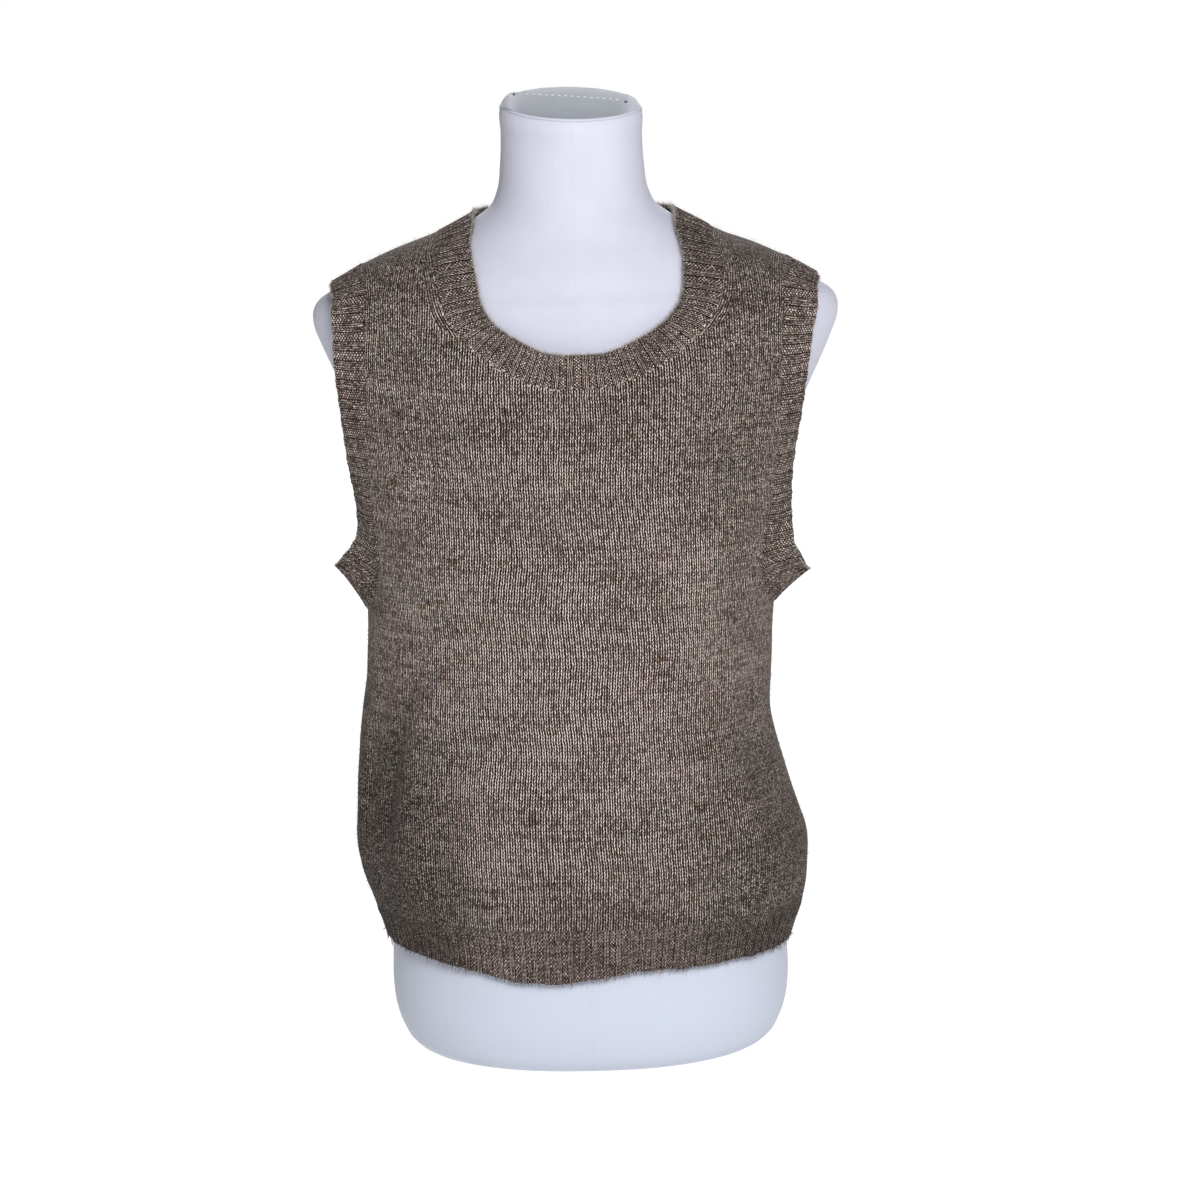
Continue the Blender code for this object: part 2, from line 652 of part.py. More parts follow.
def hem_rib_rows(front):
    """Rows of a panel's ribbed hem, from its seam down to its edge."""
    angles = hem_angles(front)
    top = HEM_SEAM_HEIGHT - GAP
    rows = []
    for i in range(HEM_ROWS + 1):
        points = []
        normals = []
        for angle in angles:
            turned = (angle + 180.0) % 360.0 - 180.0
            edge = smooth_between(HEM_EDGE_ANGLES, HEM_EDGE_HEIGHTS, turned)
            height = top + (edge - top) * i / HEM_ROWS
            points.append(panel_point(angle, height, front))
            normals.append(vest_normal(angle, height))
        rows.append((points, normals))
    return rows


def form_ring(row, inset=0.0, rise=0.0):
    """Ring of points of the form at one of its rows, tilted where it is part of the neck."""
    side = row.side - inset
    section = Section(row.z, side, side, row.front - inset, row.back - inset)
    above = max(0.0, row.z - NECK_TILT_START) / (FORM_SECTIONS[-1].z - NECK_TILT_START)
    ring = []
    for i in range(FORM_COLUMNS):
        point = point_on_section(section, 360.0 * i / FORM_COLUMNS, row.squareness)
        point.z += rise + above * (NECK_TILT * point.y - NECK_LEAN * point.x)
        ring.append(point)
    return ring


def add_loft(name, rings, material, collection):
    """A closed solid through rings of points, flat at both ends."""
    mesh = bmesh.new()
    lines = [[mesh.verts.new(point) for point in ring] for ring in rings]
    add_grid_faces(mesh, [line + [line[0]] for line in lines])
    mesh.faces.new(lines[0])
    mesh.faces.new(lines[-1])
    return add_object(name, mesh, material, collection)


def add_dress_form(material, collection):
    rings = [form_ring(row) for row in FORM_SECTIONS]
    return add_loft("dress_form", rings, material, collection)


def add_neck_cap(material, collection):
    """The fabric-covered disc that closes the form's neck."""
    levels = (
        (GAP, NECK_CAP_EDGE),
        (GAP + NECK_CAP_EDGE, 0.0),
        (NECK_CAP_THICKNESS - NECK_CAP_EDGE, 0.0),
        (NECK_CAP_THICKNESS, NECK_CAP_EDGE),
    )
    rings = [form_ring(FORM_SECTIONS[-1], inset, rise) for rise, inset in levels]
    return add_loft("form_neck_cap", rings, material, collection)


def main():
    clear_scene()
    collection = make_collection("knitted_sweater_vest")
    knit = make_material("knit", KNIT_COLOUR, 0.95)
    rib = make_material("rib_knit", RIB_COLOUR, 0.95)
    form = make_material("form_fabric", FORM_COLOUR, 0.6)
    cap = make_material("cap_fabric", CAP_COLOUR, 0.7)
    add_panel("vest_front", True, knit, collection)
    add_panel("vest_back", False, knit, collection)
    for name, front in (("hem_rib_front", True), ("hem_rib_back", False)):
        add_ribbed_strip(name, hem_rib_rows(front), False, rib, collection)
    bands = (
        ("neckband", neckband_seam(), None),
        ("armband_left", armband_seam("left"), -1.0),
        ("armband_right", armband_seam("right"), 1.0),
    )
    for name, seam, side_sign in bands:
        add_ribbed_strip(name, band_rows(seam, side_sign), True, rib, collection)
    add_dress_form(form, collection)
    add_neck_cap(cap, collection)


main()
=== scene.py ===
"""Looks of the knitted sweater vest on its dress form: fine knitted shells, fibres, seams and studio.

Metres, +Z up, the front towards -Y. Left and right are as seen from the front. A place on the cloth
is given by its height and its angle round the body: 0 is the middle of the front, +90 the right side.
"""

import math

import bpy
import numpy as np
from mathutils import Matrix, Vector


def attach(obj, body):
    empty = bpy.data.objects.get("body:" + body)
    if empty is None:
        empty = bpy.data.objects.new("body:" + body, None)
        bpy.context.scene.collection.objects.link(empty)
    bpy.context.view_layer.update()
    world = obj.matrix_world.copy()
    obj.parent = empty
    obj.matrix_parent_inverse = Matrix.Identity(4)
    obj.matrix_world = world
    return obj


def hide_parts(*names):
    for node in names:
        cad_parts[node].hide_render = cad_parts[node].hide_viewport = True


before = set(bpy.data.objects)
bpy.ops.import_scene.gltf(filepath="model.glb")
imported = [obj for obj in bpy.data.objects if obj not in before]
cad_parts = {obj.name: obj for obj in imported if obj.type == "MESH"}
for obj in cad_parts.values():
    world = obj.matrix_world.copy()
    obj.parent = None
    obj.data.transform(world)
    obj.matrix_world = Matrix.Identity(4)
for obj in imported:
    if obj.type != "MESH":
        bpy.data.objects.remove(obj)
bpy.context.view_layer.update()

scene = bpy.context.scene

# --- sizes shared with the solids
WALL = 0.0022  # knitted cloth, inside to outside, between the ribs
RIB_RELIEF = 0.0009  # how far a rib stands out of the cloth
GAP = 0.0003  # between pieces that meet at a seam
HEM_SEAM = 0.111  # height of the seam between panels and hem ribs
UNDERARM = 0.317  # and of the underarms
SQUARENESS = 2.2  # exponent of the body's rounded outline, 2 being an ellipse
SEAM_SAMPLES = 12  # between two rows of a seam, to measure its length
NORMAL_TURN = 1.0  # degrees to each side of a point, to find which way the surface faces
NORMAL_RISE = 0.002  # and height above and below it
FOLD_RADIUS = 0.14  # of the body, to measure a fold's width
BAND_LEVEL_SHARE = 0.4  # how far a band goes on level with the cloth before it bends
NECK_LEFT_TURN = 3.6  # degrees that the neckline's left side lies further forward
NECK_TILT = 0.19  # rise of the form's top per metre towards the back
NECK_LEAN = 0.035  # and its fall per metre towards the right
NECK_TILT_START = 0.6
SHOULDER_STEPS = 5  # the solids' steps across a shoulder strap
SIDE_STEPS = 7  # and from the hem seam to the underarm

# The solids' steps along the edges of the front (True) and back: underarm, upright, strap, neckline
STEPS = {True: np.array((3, 4, 5, 10)), False: np.array((3, 6, 2, 8))}

# --- sizes of the fine cloth
FRONT_REFINE = 9  # fine steps in one step of the solid, across and up a panel
BACK_REFINE = 8
WALE = 0.0036  # one column of stitches, across
COURSE = 0.00243  # one row of stitches, up
POINTS_PER_RIB = 12
FINE = 2 * POINTS_PER_RIB  # fine steps of a ribbed strip in one step of the solid
BAND_ROWS = 11  # strips from a band's seam to its free edge
HEM_ROWS = 14
SEAM_GAP = 0.00006  # between a panel and its ribbed edge
FIBRE_WIDTH = 0.00009
FAR = 1.0  # an edge distance that is out of reach
SHARP_ANGLE = 68.0  # degrees between two faces that are shaded as an edge
BACK_SHIFT = 211.0  # columns between the yarn's pattern on the front and on the back

# Strips of stitches along the neckline's sides and the armholes: width, and heights where they begin
FASHIONED = ((0.0085, 0.519, 0.526), (0.01, 0.455, 0.475), (0.01, 0.455, 0.475))


def table(*rows, plain=()):
    """A table in metres from rows in millimetres. Its plain columns stay as they are."""
    values = np.array(rows, float)
    scale = np.full(values.shape[1], 1000.0)
    scale[list(plain)] = 1.0
    return values / scale


# The vest's outer face: height, and reach from the middle line to the left, right, front and back
VEST = table(
    (60,147.5,145,117,116.5), (78,148.2,146.2,118,117.5), (90,149,148.6,119,118.5),
    (102,150.8,151.8,120.5,119), (115,154.6,155.2,121.5,119), (130,160,156.5,122,118),
    (150,163.8,156.6,122,116.5), (170,163.6,150.8,121.5,114), (195,162.6,143,121,110.5),
    (220,160.4,135.7,121,107), (245,157.5,131.5,121.5,104.5), (270,154.2,132.8,122.5,103.5),
    (295,152.4,133.8,124,103.5), (320,151.6,135.2,125.5,104.5), (345,153,138.5,127,106.5),
    (370,156,143.5,128,108.5), (400,160,149.5,128.5,110.5), (430,164.5,155,127,112.5),
    (460,169,162,120,113.5), (490,174,169.5,108.5,112.5), (515,179,176,97,107),
    (535,179.5,179,87,100.5), (548,170,170,80,94.5), (556.5,157,156.5,75.5,89),
    (563.5,144,143,71.5,84.5), (570,130,127.5,68,80), (576,114,110.5,64.5,75.5), (583,95,96,60.5,70),
    (590,80.5,84,57.5,64.5), (597,67.5,72.5,54.5,60),
)

# The dress form: height, reach to each side, to the front and back, and its outline's exponent
FORM = table(
    (0,112,85,85,2.3), (3,120.5,92.5,92.5,2.3), (9,129,99.5,100,2.3), (19,135.2,105,106,2.29),
    (32,139.5,109,110,2.29), (47,141.4,111,112.5,2.28), (68,141.2,112,113.5,2.27),
    (95,140,111.5,113,2.26), (130,136.5,108,108.5,2.25), (170,130,102.5,100,2.22),
    (210,122.5,97,90.5,2.18), (250,117,94,85,2.15), (290,118,96.5,85,2.15), (330,123.5,104,89.5,2.15),
    (370,131,113,95,2.12), (400,138,119,100,2.1), (425,144,120,103,2.05), (450,152.5,115,105,2),
    (475,163.5,105,106,1.9), (492,171.5,97.5,104.5,1.85), (507,178,90.5,101,1.8),
    (521.5,183,85.5,98,1.8), (532.5,182.3,80.5,94.5,1.8), (539.3,177.5,77.5,92,1.8),
    (544,170,74.5,89,1.8), (550.3,159,71.5,86,1.82), (557.8,146,68,82,1.83), (564.3,132.5,64.5,78,1.85),
    (571,116,61,73.5,1.88), (578.6,97,57,67.5,1.91), (586.6,80,53.5,61,1.95), (593.7,67,50.5,56.5,1.98),
    (600.5,58,48,52,2.01), (610,53,46,49,2.05), (629,50,44.5,47,2.05), (651,49,44,46.5,2.05),
    (667,49,44,46.5,2.05), (669.5,48,43,45.5,2.05),
    plain=[4],
)

# Seams from the body outwards: angle and height on the vest, and where the band's free edge lies
# from there: out from the middle line, back and up
NECK_FRONT_SEAM = table(
    (0,485.8,0,9,22.5), (8,488,-6,9,21.5), (15.5,496.5,-10.8,9,20), (21.5,507,-16,8.5,16),
    (26,518,-20.5,7,11), (30.5,534.5,-25,5,6), (35.5,551,-26.8,3,4), (45,565.5,-26.8,1,5),
    (57,574.5,-26.5,0,7.5), (72,580.5,-26.5,0,11), (90,583,-26.5,0,13.5),
    plain=[0],
)
NECK_BACK_SEAM = table(
    (90,583,-26.5,0,13.5), (110,581.5,-25.8,-2,14.5), (128,579,-23.5,-6,16.5),
    (140,576,-19.5,-8.5,18.5), (153,572.5,-12.5,-9,21), (169,568,-5,-8.5,22.5), (180,566,0,-8.5,23),
    plain=[0],
)
ARMHOLE_FRONT_SEAM = {
    "left": table(
        (90,563.5,24,0,-14.5), (70,559,24.5,2,-11), (56,548,24,8,-5), (51.5,529,23,11,-2),
        (53.5,500,22.5,13,0), (57.5,465,18,17,0), (60.5,430,15,20,0), (62.5,397,12,22,1),
        (62.5,370,16.5,23,6), (65,348,25.5,22,15), (75,327,24.5,15,27), (90,317,17.5,0,34.5),
        plain=[0],
    ),
    "right": table(
        (90,563.5,25.5,0,-16.1), (70,559,25,2,-13), (56,548,24,8,-6), (51.5,529,22.5,11,-3),
        (53.5,500,20,14,0), (57.5,465,16,18,0), (60.5,430,13,21,0), (61,397,15,21,0),
        (59.5,368,23.5,21,1), (63,344,29,24,8), (74,325,28,17,19), (90,317,24,0,24),
        plain=[0],
    ),
}
ARMHOLE_BACK_SEAM = table(
    (90,563.5,24.8,0,-15.5), (110,559,24.8,-2,-12), (125,548,24,-8,-6), (130,529,22.5,-11,-2),
    (128,500,21,-13,0), (125,465,18,-16,0), (122,430,16,-19,0), (119,395,16,-20,2),
    (116,365,16.5,-19,8), (109,338,19,-15,19), (90,317,20.5,0,29.2),
    plain=[0],
)
MIRROR = np.array((-1.0, 1.0, 1.0, 1.0, 1.0))  # turns a seam's rows to the other side

# The hem's free edge: angle and height
HEM_EDGE = table(
    (-180,79), (-130,82), (-90,85), (-60,86), (-35,81), (-9,72), (3,75.5), (18,78.5), (40,80.5),
    (90,78.5), (130,80), (180,79),
    plain=[0],
)

# Folds, then smaller creases that only the fine cloth has: angle, top, bottom, degrees that it
# leans over its height, width and depth
FOLDS = table(
    (-66,330,120,10,16,-3.4), (-49,290,110,14,15,2.6), (-35,240,100,10,14,-2.2), (-29,125,50,-4,5,-1.4),
    (47,260,100,-12,16,2.6), (62,350,130,-10,18,-3.4), (30,230,110,-8,14,-1.8), (180,400,120,0,24,-3.6),
    (152,380,110,6,16,2.8), (-150,360,100,-8,17,3), (124,330,120,-6,16,-2.8), (-121,320,110,6,15,-3),
    (-74,290,105,12,11,3.2), (-57,300,95,16,11,-5.6), (-42,270,100,14,10,2.2), (-20,210,90,5,10,0.8),
    (-9,180,70,-3,8,-0.8), (12,170,80,3,9,0.7), (38,190,100,-6,8,-0.9), (54,225,130,-9,8,1),
    (74,290,190,-14,9,-1.2), (44,430,330,22,10,0.8), (-44,425,330,-20,10,0.8), (53,385,315,26,8,-1),
    (-54,390,320,-24,8,-1), (136,300,150,8,9,1), (166,330,190,5,10,-0.9), (-166,280,130,-4,9,1),
    (-136,290,150,-7,9,1), (140,430,330,-20,10,-0.9), (-140,430,340,20,10,-0.8),
    plain=[0, 3],
)


# --- small helpers
def ramp(value, start, end):
    """0 up to start and 1 from end, straight between them."""
    return np.clip((value - start) / (end - start), 0, 1)


def bell(value, middle, width):
    return np.exp(-((value - middle) / width) ** 2)


def size_of(vectors):
    return np.linalg.norm(vectors, axis=-1)


def unit(vectors):
    return vectors / np.maximum(size_of(vectors)[..., None], 1e-12)


def facing(vectors, way):
    """The vectors, turned round where they point against a way."""
    return np.where((vectors * way).sum(axis=1, keepdims=True) < 0, -vectors, vectors)


def join(*parts, axis=0):
    return np.concatenate(parts, axis=axis)


def zipped(*parts):
    return np.stack(np.broadcast_arrays(*parts), axis=-1)


def lengths_of(points):
    """Distance along lines of points, from the first point of each."""
    steps = size_of(np.diff(points, axis=-2))
    return join(np.zeros_like(steps[..., :1]), np.cumsum(steps, axis=-1), axis=-1)


def read_at(places, lengths, rows):
    """Rows of values at places along a line, from those at the line's points."""
    return zipped(*(np.interp(places, lengths, column) for column in rows.T))


def full_turn(sides):
    """Angles once round, the last the same as the first."""
    return np.arange(sides + 1) * 2 * math.pi / sides


def between(first, last, steps):
    """Even steps from first to last."""
    share = np.linspace(0.0, 1.0, steps + 1)[:, None]
    return first[..., None, :] * (1 - share) + last[..., None, :] * share


# --- curves and surfaces
def smooth(keys, values, at):
    """Smooth curve through rows of values at rising keys, read at many keys."""
    k = join([2 * keys[0] - keys[1]], keys, [2 * keys[-1] - keys[-2]])
    v = join(2 * values[:1] - values[1:2], values, 2 * values[-1:] - values[-2:-1])
    at = np.clip(np.asarray(at, float), keys[0], keys[-1])
    i = np.clip(np.searchsorted(keys, at, side="left") - 1, 0, len(keys) - 2)
    before, here, after = ((k[i + n + 1] - k[i + n])[..., None] for n in range(3))
    a, b, c, d = (v[i + n] for n in range(4))
    start = ((c - b) * before / here + (b - a) * here / before) / (before + here)
    end = ((d - c) * here / after + (c - b) * after / here) / (here + after)
    s = ((at - k[i + 1]) / (k[i + 2] - k[i + 1]))[..., None]
    s2 = s * s
    s3 = s2 * s
    return (b * (2 * s3 - 3 * s2 + 1) + start * here * (s3 - 2 * s2 + s)
            + c * (3 * s2 - 2 * s3) + end * here * (s3 - s2))


def outline(angle, z, left, right, front, back, squareness):
    sine, cosine = np.sin(np.radians(angle)), np.cos(np.radians(angle))
    across = np.abs(sine) ** (2 / squareness)
    along = np.abs(cosine) ** (2 / squareness)
    return zipped(np.where(sine >= 0, across * right, -across * left),
                  np.where(cosine >= 0, -along * front, along * back), z)


def body(angle, z):
    reaches = np.moveaxis(smooth(VEST[:, 0], VEST[:, 1:], z), -1, 0)
    return outline(angle, z, *reaches, SQUARENESS)


def normals_of(surface, angle, z):
    across = surface(angle + NORMAL_TURN, z) - surface(angle - NORMAL_TURN, z)
    upward = surface(angle, z + NORMAL_RISE) - surface(angle, z - NORMAL_RISE)
    return unit(np.cross(across, upward))


def waves(points, seed, size, count=14):
    """Soft unevenness from a few crossing waves, about -1 to 1."""
    rng = np.random.default_rng(seed)
    total = np.zeros(points.shape[:-1])
    for _ in range(count):
        way = unit(rng.normal(size=3)) * 2 * math.pi / (size * rng.uniform(0.6, 1.7))
        total = total + np.sin(points @ way + rng.uniform(0, 2 * math.pi))
    return total / math.sqrt(count)


def cloth(angle, z):
    """The vest's outer face with its folds and a slight unevenness."""
    base = body(angle, z)
    raised = 0.00025 * waves(base, 3, 0.035)
    for place, top, bottom, lean, width, depth in FOLDS:
        share = ramp(z, bottom, top)
        middle = place + lean * (share - 0.5)
        away = np.radians((angle - middle + 180.0) % 360.0 - 180.0) * FOLD_RADIUS
        raised = raised + depth * np.sin(math.pi * share) ** 1.5 * bell(away, 0.0, width)
    return base + normals_of(body, angle, z) * raised[..., None]


def apart(points, front):
    """Keeps a panel's points on its own side of the side seams."""
    limit = np.minimum if front else np.maximum
    points[:, 1] = limit(points[:, 1], -GAP / 2 if front else GAP / 2)
    return points


def walk_seam(rows, steps):
    """Points at equal steps along a seam, one array row each: angle, z, out, back, up."""
    samples = SEAM_SAMPLES * len(rows)
    keys = np.arange(len(rows), dtype=float)
    dense = smooth(keys, rows, keys[-1] * np.arange(samples + 1) / samples)
    lengths = lengths_of(body(dense[:, 0], dense[:, 1]))
    return read_at(lengths[-1] * np.arange(steps + 1) / steps, lengths, dense)


def hem_line(front, refine):
    underarm, _, _, neckline = STEPS[front] * refine
    turns = np.linspace(-90.0, 90.0, 7) + (0.0 if front else 180.0)
    rows = zipped(turns, HEM_SEAM, 0.0, 0.0, 0.0)
    return walk_seam(rows, 2 * (underarm + SHOULDER_STEPS * refine) + neckline)


def armhole_line(side, front, refine):
    rows = ARMHOLE_FRONT_SEAM[side]
    if not front:
        rows = join(rows[:1], ARMHOLE_BACK_SEAM[1:-1], rows[-1:])
    if side == "left":
        rows = rows * MIRROR
    return walk_seam(rows[::-1], STEPS[front][:3].sum() * refine)


def neck_line(front, refine):
    if front:
        left = NECK_FRONT_SEAM[1:] * MIRROR
        left[:, 0] -= NECK_LEFT_TURN * np.sin(np.radians(2 * left[:, 0]))
        rows = join(left[::-1], NECK_FRONT_SEAM)
    else:
        left = NECK_BACK_SEAM[:-1] * MIRROR
        left[:, 0] += 360.0
        rows = join(NECK_BACK_SEAM, left[::-1])
    _, _, strap, neckline = STEPS[front] * refine
    return walk_seam(rows, neckline + 2 * strap)


def panel_edges(front, refine):
    """A panel's edges as (angle, height) pairs: hem, neckline, first and last armhole."""
    lines = [hem_line(front, refine), neck_line(front, refine)]
    lines += [armhole_line(side, front, refine) for side in ("left", "right")[:: 1 if front else -1]]
    if not front:
        for line in lines:
            line[:, 0] %= 360.0
    return [line[:, :2] for line in lines]


def filled_between(first, last, bottom, top):
    """Net of (angle, height) pairs between a patch's first and last sides, bottom and top."""
    steps = len(bottom) - 1
    climb = ((first[:, 1] - first[0, 1]) / (first[-1, 1] - first[0, 1]))[:, None, None]
    top_bend = top - between(top[0], top[-1], steps)
    bottom_bend = bottom - between(bottom[0], bottom[-1], steps)
    net = between(first, last, steps) + climb * top_bend + (1 - climb) * bottom_bend
    net[0], net[-1] = bottom, top
    return net


def panel_patches(front, refine):
    """Nets of (angle, height) pairs that cover a panel: body, chest and the two shoulder straps."""
    low, upright, strap, _ = STEPS[front] * refine
    high = low + upright
    hem, neck, first_arm, last_arm = panel_edges(front, refine)
    across = SHOULDER_STEPS * refine
    first_side = between(hem[0], first_arm[0], SIDE_STEPS * refine)
    last_side = between(hem[-1], last_arm[0], SIDE_STEPS * refine)
    first_neck = neck[: strap + 1][::-1]
    last_neck = neck[-strap - 1 :]
    first_base = between(first_arm[high], first_neck[0], across)
    last_base = between(last_neck[0], last_arm[high], across)
    chest_top = join(first_base[:-1], neck[strap:-strap], last_base[1:])
    chest_base = between(first_arm[low], last_arm[low], len(chest_top) - 1)
    body_top = join(first_arm[:low], chest_base, last_arm[:low][::-1])
    chest = slice(low, high + 1)
    return [
        filled_between(first_side, last_side, hem, body_top),
        filled_between(first_arm[chest], last_arm[chest], chest_base, chest_top),
        between(first_arm[high:], first_neck, across),
        between(last_neck, last_arm[high:], across),
    ]


# --- meshes
def quads_of(ids):
    """Faces of a net of points, given by their numbers."""
    return np.stack((ids[:-1, :-1], ids[:-1, 1:], ids[1:, 1:], ids[1:, :-1]), axis=-1).reshape(-1, 4)


def grid(rows, columns, closed=False):
    ids = np.arange(rows * columns).reshape(rows, columns)
    return quads_of(join(ids, ids[:, :1], axis=1) if closed else ids)


def fan(hub, ring):
    """Triangles from a hub to a ring of points."""
    return zipped(hub, ring[:-1], ring[1:])


def add_object(name, data):
    obj = bpy.data.objects.new(name, data)
    scene.collection.objects.link(obj)
    return obj


def put(target, key, values, kind=np.float32):
    target.foreach_set(key, values.astype(kind).ravel())


def make_object(name, verts, faces, materials, uvs={}, floats={}, face_material=None, sharp=None):
    """One object from arrays: faces is a list of index arrays of 3 or 4 columns."""
    mesh = bpy.data.meshes.new(name)
    mesh.vertices.add(len(verts))
    put(mesh.vertices, "co", verts)
    loops = join(*(part.ravel() for part in faces))
    sizes = join(*(np.full(len(part), part.shape[1]) for part in faces))
    mesh.loops.add(len(loops))
    put(mesh.loops, "vertex_index", loops, np.int32)
    mesh.polygons.add(len(sizes))
    put(mesh.polygons, "loop_start", np.cumsum(sizes) - sizes, np.int32)
    if face_material is not None:
        put(mesh.polygons, "material_index", face_material, np.int32)
    mesh.update(calc_edges=True)
    for key, values in uvs.items():
        put(mesh.uv_layers.new(name=key, do_init=False).data, "uv", values[loops])
    for key, values in floats.items():
        put(mesh.attributes.new(key, "FLOAT", "POINT").data, "value", values)
    mesh.shade_smooth()
    if sharp:
        mesh.set_sharp_from_angle(angle=math.radians(sharp))
    for material in materials:
        mesh.materials.append(material)
    return add_object(name, mesh)


def add_piece(name, slot, *mesh, node=None, **layers):
    """A visible piece, which takes the place of a solid where one is named."""
    obj = make_object(name, *mesh, **layers)
    if node:
        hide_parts(node)
    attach(obj, "root")
    return obj


outsides = {}  # its slot, outer points and quads, for the fibres
free_edges = {}  # a ribbed piece's last row of outer points, and the one two rows before


def add_knitted(stem, kind, slot, material, node, outer, inner, quads, uvs, floats):
    """A wall of cloth: outer and inner faces and the rim between them. Its values are those of its
    outer points."""
    count = len(outer)
    edges = join(*(quads[:, [i, (i + 1) % 4]] for i in range(4)))
    ordered = np.sort(edges, axis=1)
    key = ordered[:, 0] * count + ordered[:, 1]
    _, first, times = np.unique(key, return_index=True, return_counts=True)
    start, end = edges[first[times == 1]].T
    faces = join(quads, quads[:, ::-1] + count, zipped(end, start, start + count, end + count))
    layers = [{key: join(values, values) for key, values in layer.items()} for layer in (uvs, floats)]
    add_piece(f"{stem}_{kind}", slot, join(outer, inner), [faces], [material], *layers,
                             node=node, sharp=SHARP_ANGLE)
    outsides[stem] = (slot, outer, quads)


# --- where the stitches run
def stitch_table(front, sign):
    """Columns and rows of stitches over half a panel: heights, levels of distance across, and two
    tables, distance across by height and degrees from the middle, and up by height and level."""
    def placed(turn):
        return sign * turn if front else 180.0 - sign * turn

    quarter = np.linspace(0.0, 90.0, 91)
    heights = np.linspace(HEM_SEAM - 0.06, 0.586, 150)
    across = lengths_of(body(placed(quarter)[None, :], heights[:, None]))
    full = across[:, -1]
    usual = np.interp(0.2, heights, full)
    hold = ramp(heights, 0.44, UNDERARM)
    across = across + (hold * (usual - full))[:, None] * (across / full[:, None]) ** 3
    levels = np.linspace(0.0, usual, 80)
    up = np.zeros((len(heights), len(levels)))
    for k, level in enumerate(levels):
        turn = np.array([np.interp(level, row, quarter) for row in across])
        length = lengths_of(body(placed(turn), heights))
        up[:, k] = length - np.interp(HEM_SEAM, heights, length)
    return heights, levels, across, up


def read_table(rows, columns, values, row, column):
    """Values of an evenly spaced table at many places, straight between its entries."""
    i = np.clip((row - rows[0]) / (rows[1] - rows[0]), 0, len(rows) - 1.001)
    j = np.clip((column - columns[0]) / (columns[1] - columns[0]), 0, len(columns) - 1.001)
    i0, j0 = i.astype(int), j.astype(int)
    a, b = i - i0, j - j0
    low = values[i0, j0] * (1 - b) + values[i0, j0 + 1] * b
    high = values[i0 + 1, j0] * (1 - b) + values[i0 + 1, j0 + 1] * b
    return low * (1 - a) + high * a


def cloth_places(angle, z, front):
    """Distance across and up the cloth for places on a panel."""
    off = angle if front else 180.0 - angle
    across, up = np.zeros((2, len(angle)))
    for sign in (-1.0, 1.0):
        heights, levels, across_table, up_table = stitch_table(front, sign)
        chosen = off >= 0 if sign > 0 else off < 0
        reach = read_table(heights, np.arange(91.0), across_table, z[chosen], np.abs(off[chosen]))
        across[chosen] = sign * reach
        up[chosen] = read_table(heights, levels, up_table, z[chosen], reach)
    return across, up


def nearest_on(line, lengths, points):
    """Distance from each point to a line of points, and how far along the line that is."""
    best = np.full(len(points), 1e9)
    along = np.zeros(len(points))
    for k in range(len(line) - 1):
        way = line[k + 1] - line[k]
        share = np.clip(((points - line[k]) @ way) / (way @ way), 0.0, 1.0)
        gap = size_of(points - line[k] - share[:, None] * way)
        closer = gap < best
        best[closer] = gap[closer]
        along[closer] = (lengths[k] + share * (lengths[k + 1] - lengths[k]))[closer]
    return best, along


def edge_places(points, z, front):
    """Places on the fashioned strips: distance from the edge, distance along it, and how far
    inside the strip."""
    _, *edges = panel_edges(front, 2)
    places = np.array([[FAR], [0.0], [-FAR]]) * np.ones(len(points))
    for edge, (width, low, high) in zip(edges, FASHIONED):
        line = body(edge[:, 0], edge[:, 1])
        near, along = nearest_on(line, lengths_of(line), points)
        inside = width * ramp(z, low, high) - near
        places = np.where(inside > places[2], (near, along, inside), places)
    return places


# --- materials: their values are numbers, colours or wires
tree = None  # nodes of the material, or the world, that is being made


class Wire:
    """A value that runs between nodes. Arithmetic on it makes more of them."""

    def __init__(self, socket):
        self.socket = socket

    __add__ = __radd__ = lambda self, other: maths("ADD", self, other)
    __mul__ = __rmul__ = lambda self, other: maths("MULTIPLY", self, other)
    __sub__ = lambda self, other: maths("SUBTRACT", self, other)
    __rsub__ = lambda self, other: maths("SUBTRACT", other, self)
    __abs__ = lambda self: maths("ABSOLUTE", self)
    floor = lambda self: maths("FLOOR", self)
    fract = lambda self: maths("FRACT", self)

    def blend(self, first, second):
        """From first to second, as this goes from 0 to 1."""
        return first + self * (second - first)

    def ranged(self, low, high, start=0.0, end=1.0, kind="LINEAR"):
        return node("MapRange", self, low, high, start, end, interpolation_type=kind)

    def eased(self, low, high, start=0.0, end=1.0):
        return self.ranged(low, high, start, end, "SMOOTHSTEP")


def feed(socket, value):
    if isinstance(value, Wire):
        tree.links.new(value.socket, socket)
    else:
        socket.default_value = (*value, 1.0) if isinstance(value, tuple) else value


def node(kind, *values, inputs=range(5), output=0, **settings):
    """A new node with its inputs fed. Gives the wire from one of its outputs."""
    made = tree.nodes.new("ShaderNode" + kind)
    for key, value in settings.items():
        setattr(made, key, value)
    for key, value in zip(inputs, values):
        feed(made.inputs[key], value)
    return Wire(made.outputs[output])


def maths(operation, *values):
    return node("Math", *values, operation=operation)


def split(vector):
    return [Wire(socket) for socket in node("SeparateXYZ", vector).socket.node.outputs]


def uv(name):
    return split(node("UVMap", uv_map=name))


def attribute(name):
    return node("Attribute", output="Fac", attribute_name=name)


def position():
    return node("NewGeometry", output="Position")


def noise(place, scale, detail=2.0, roughness=0.5):
    place = node("CombineXYZ", *place) if isinstance(place, tuple) else place
    return node("TexNoise", place, scale, detail, roughness,
                inputs=("Vector", "Scale", "Detail", "Roughness"))


def speck(*cell):
    return node("TexWhiteNoise", node("CombineXYZ", *cell), noise_dimensions="3D")


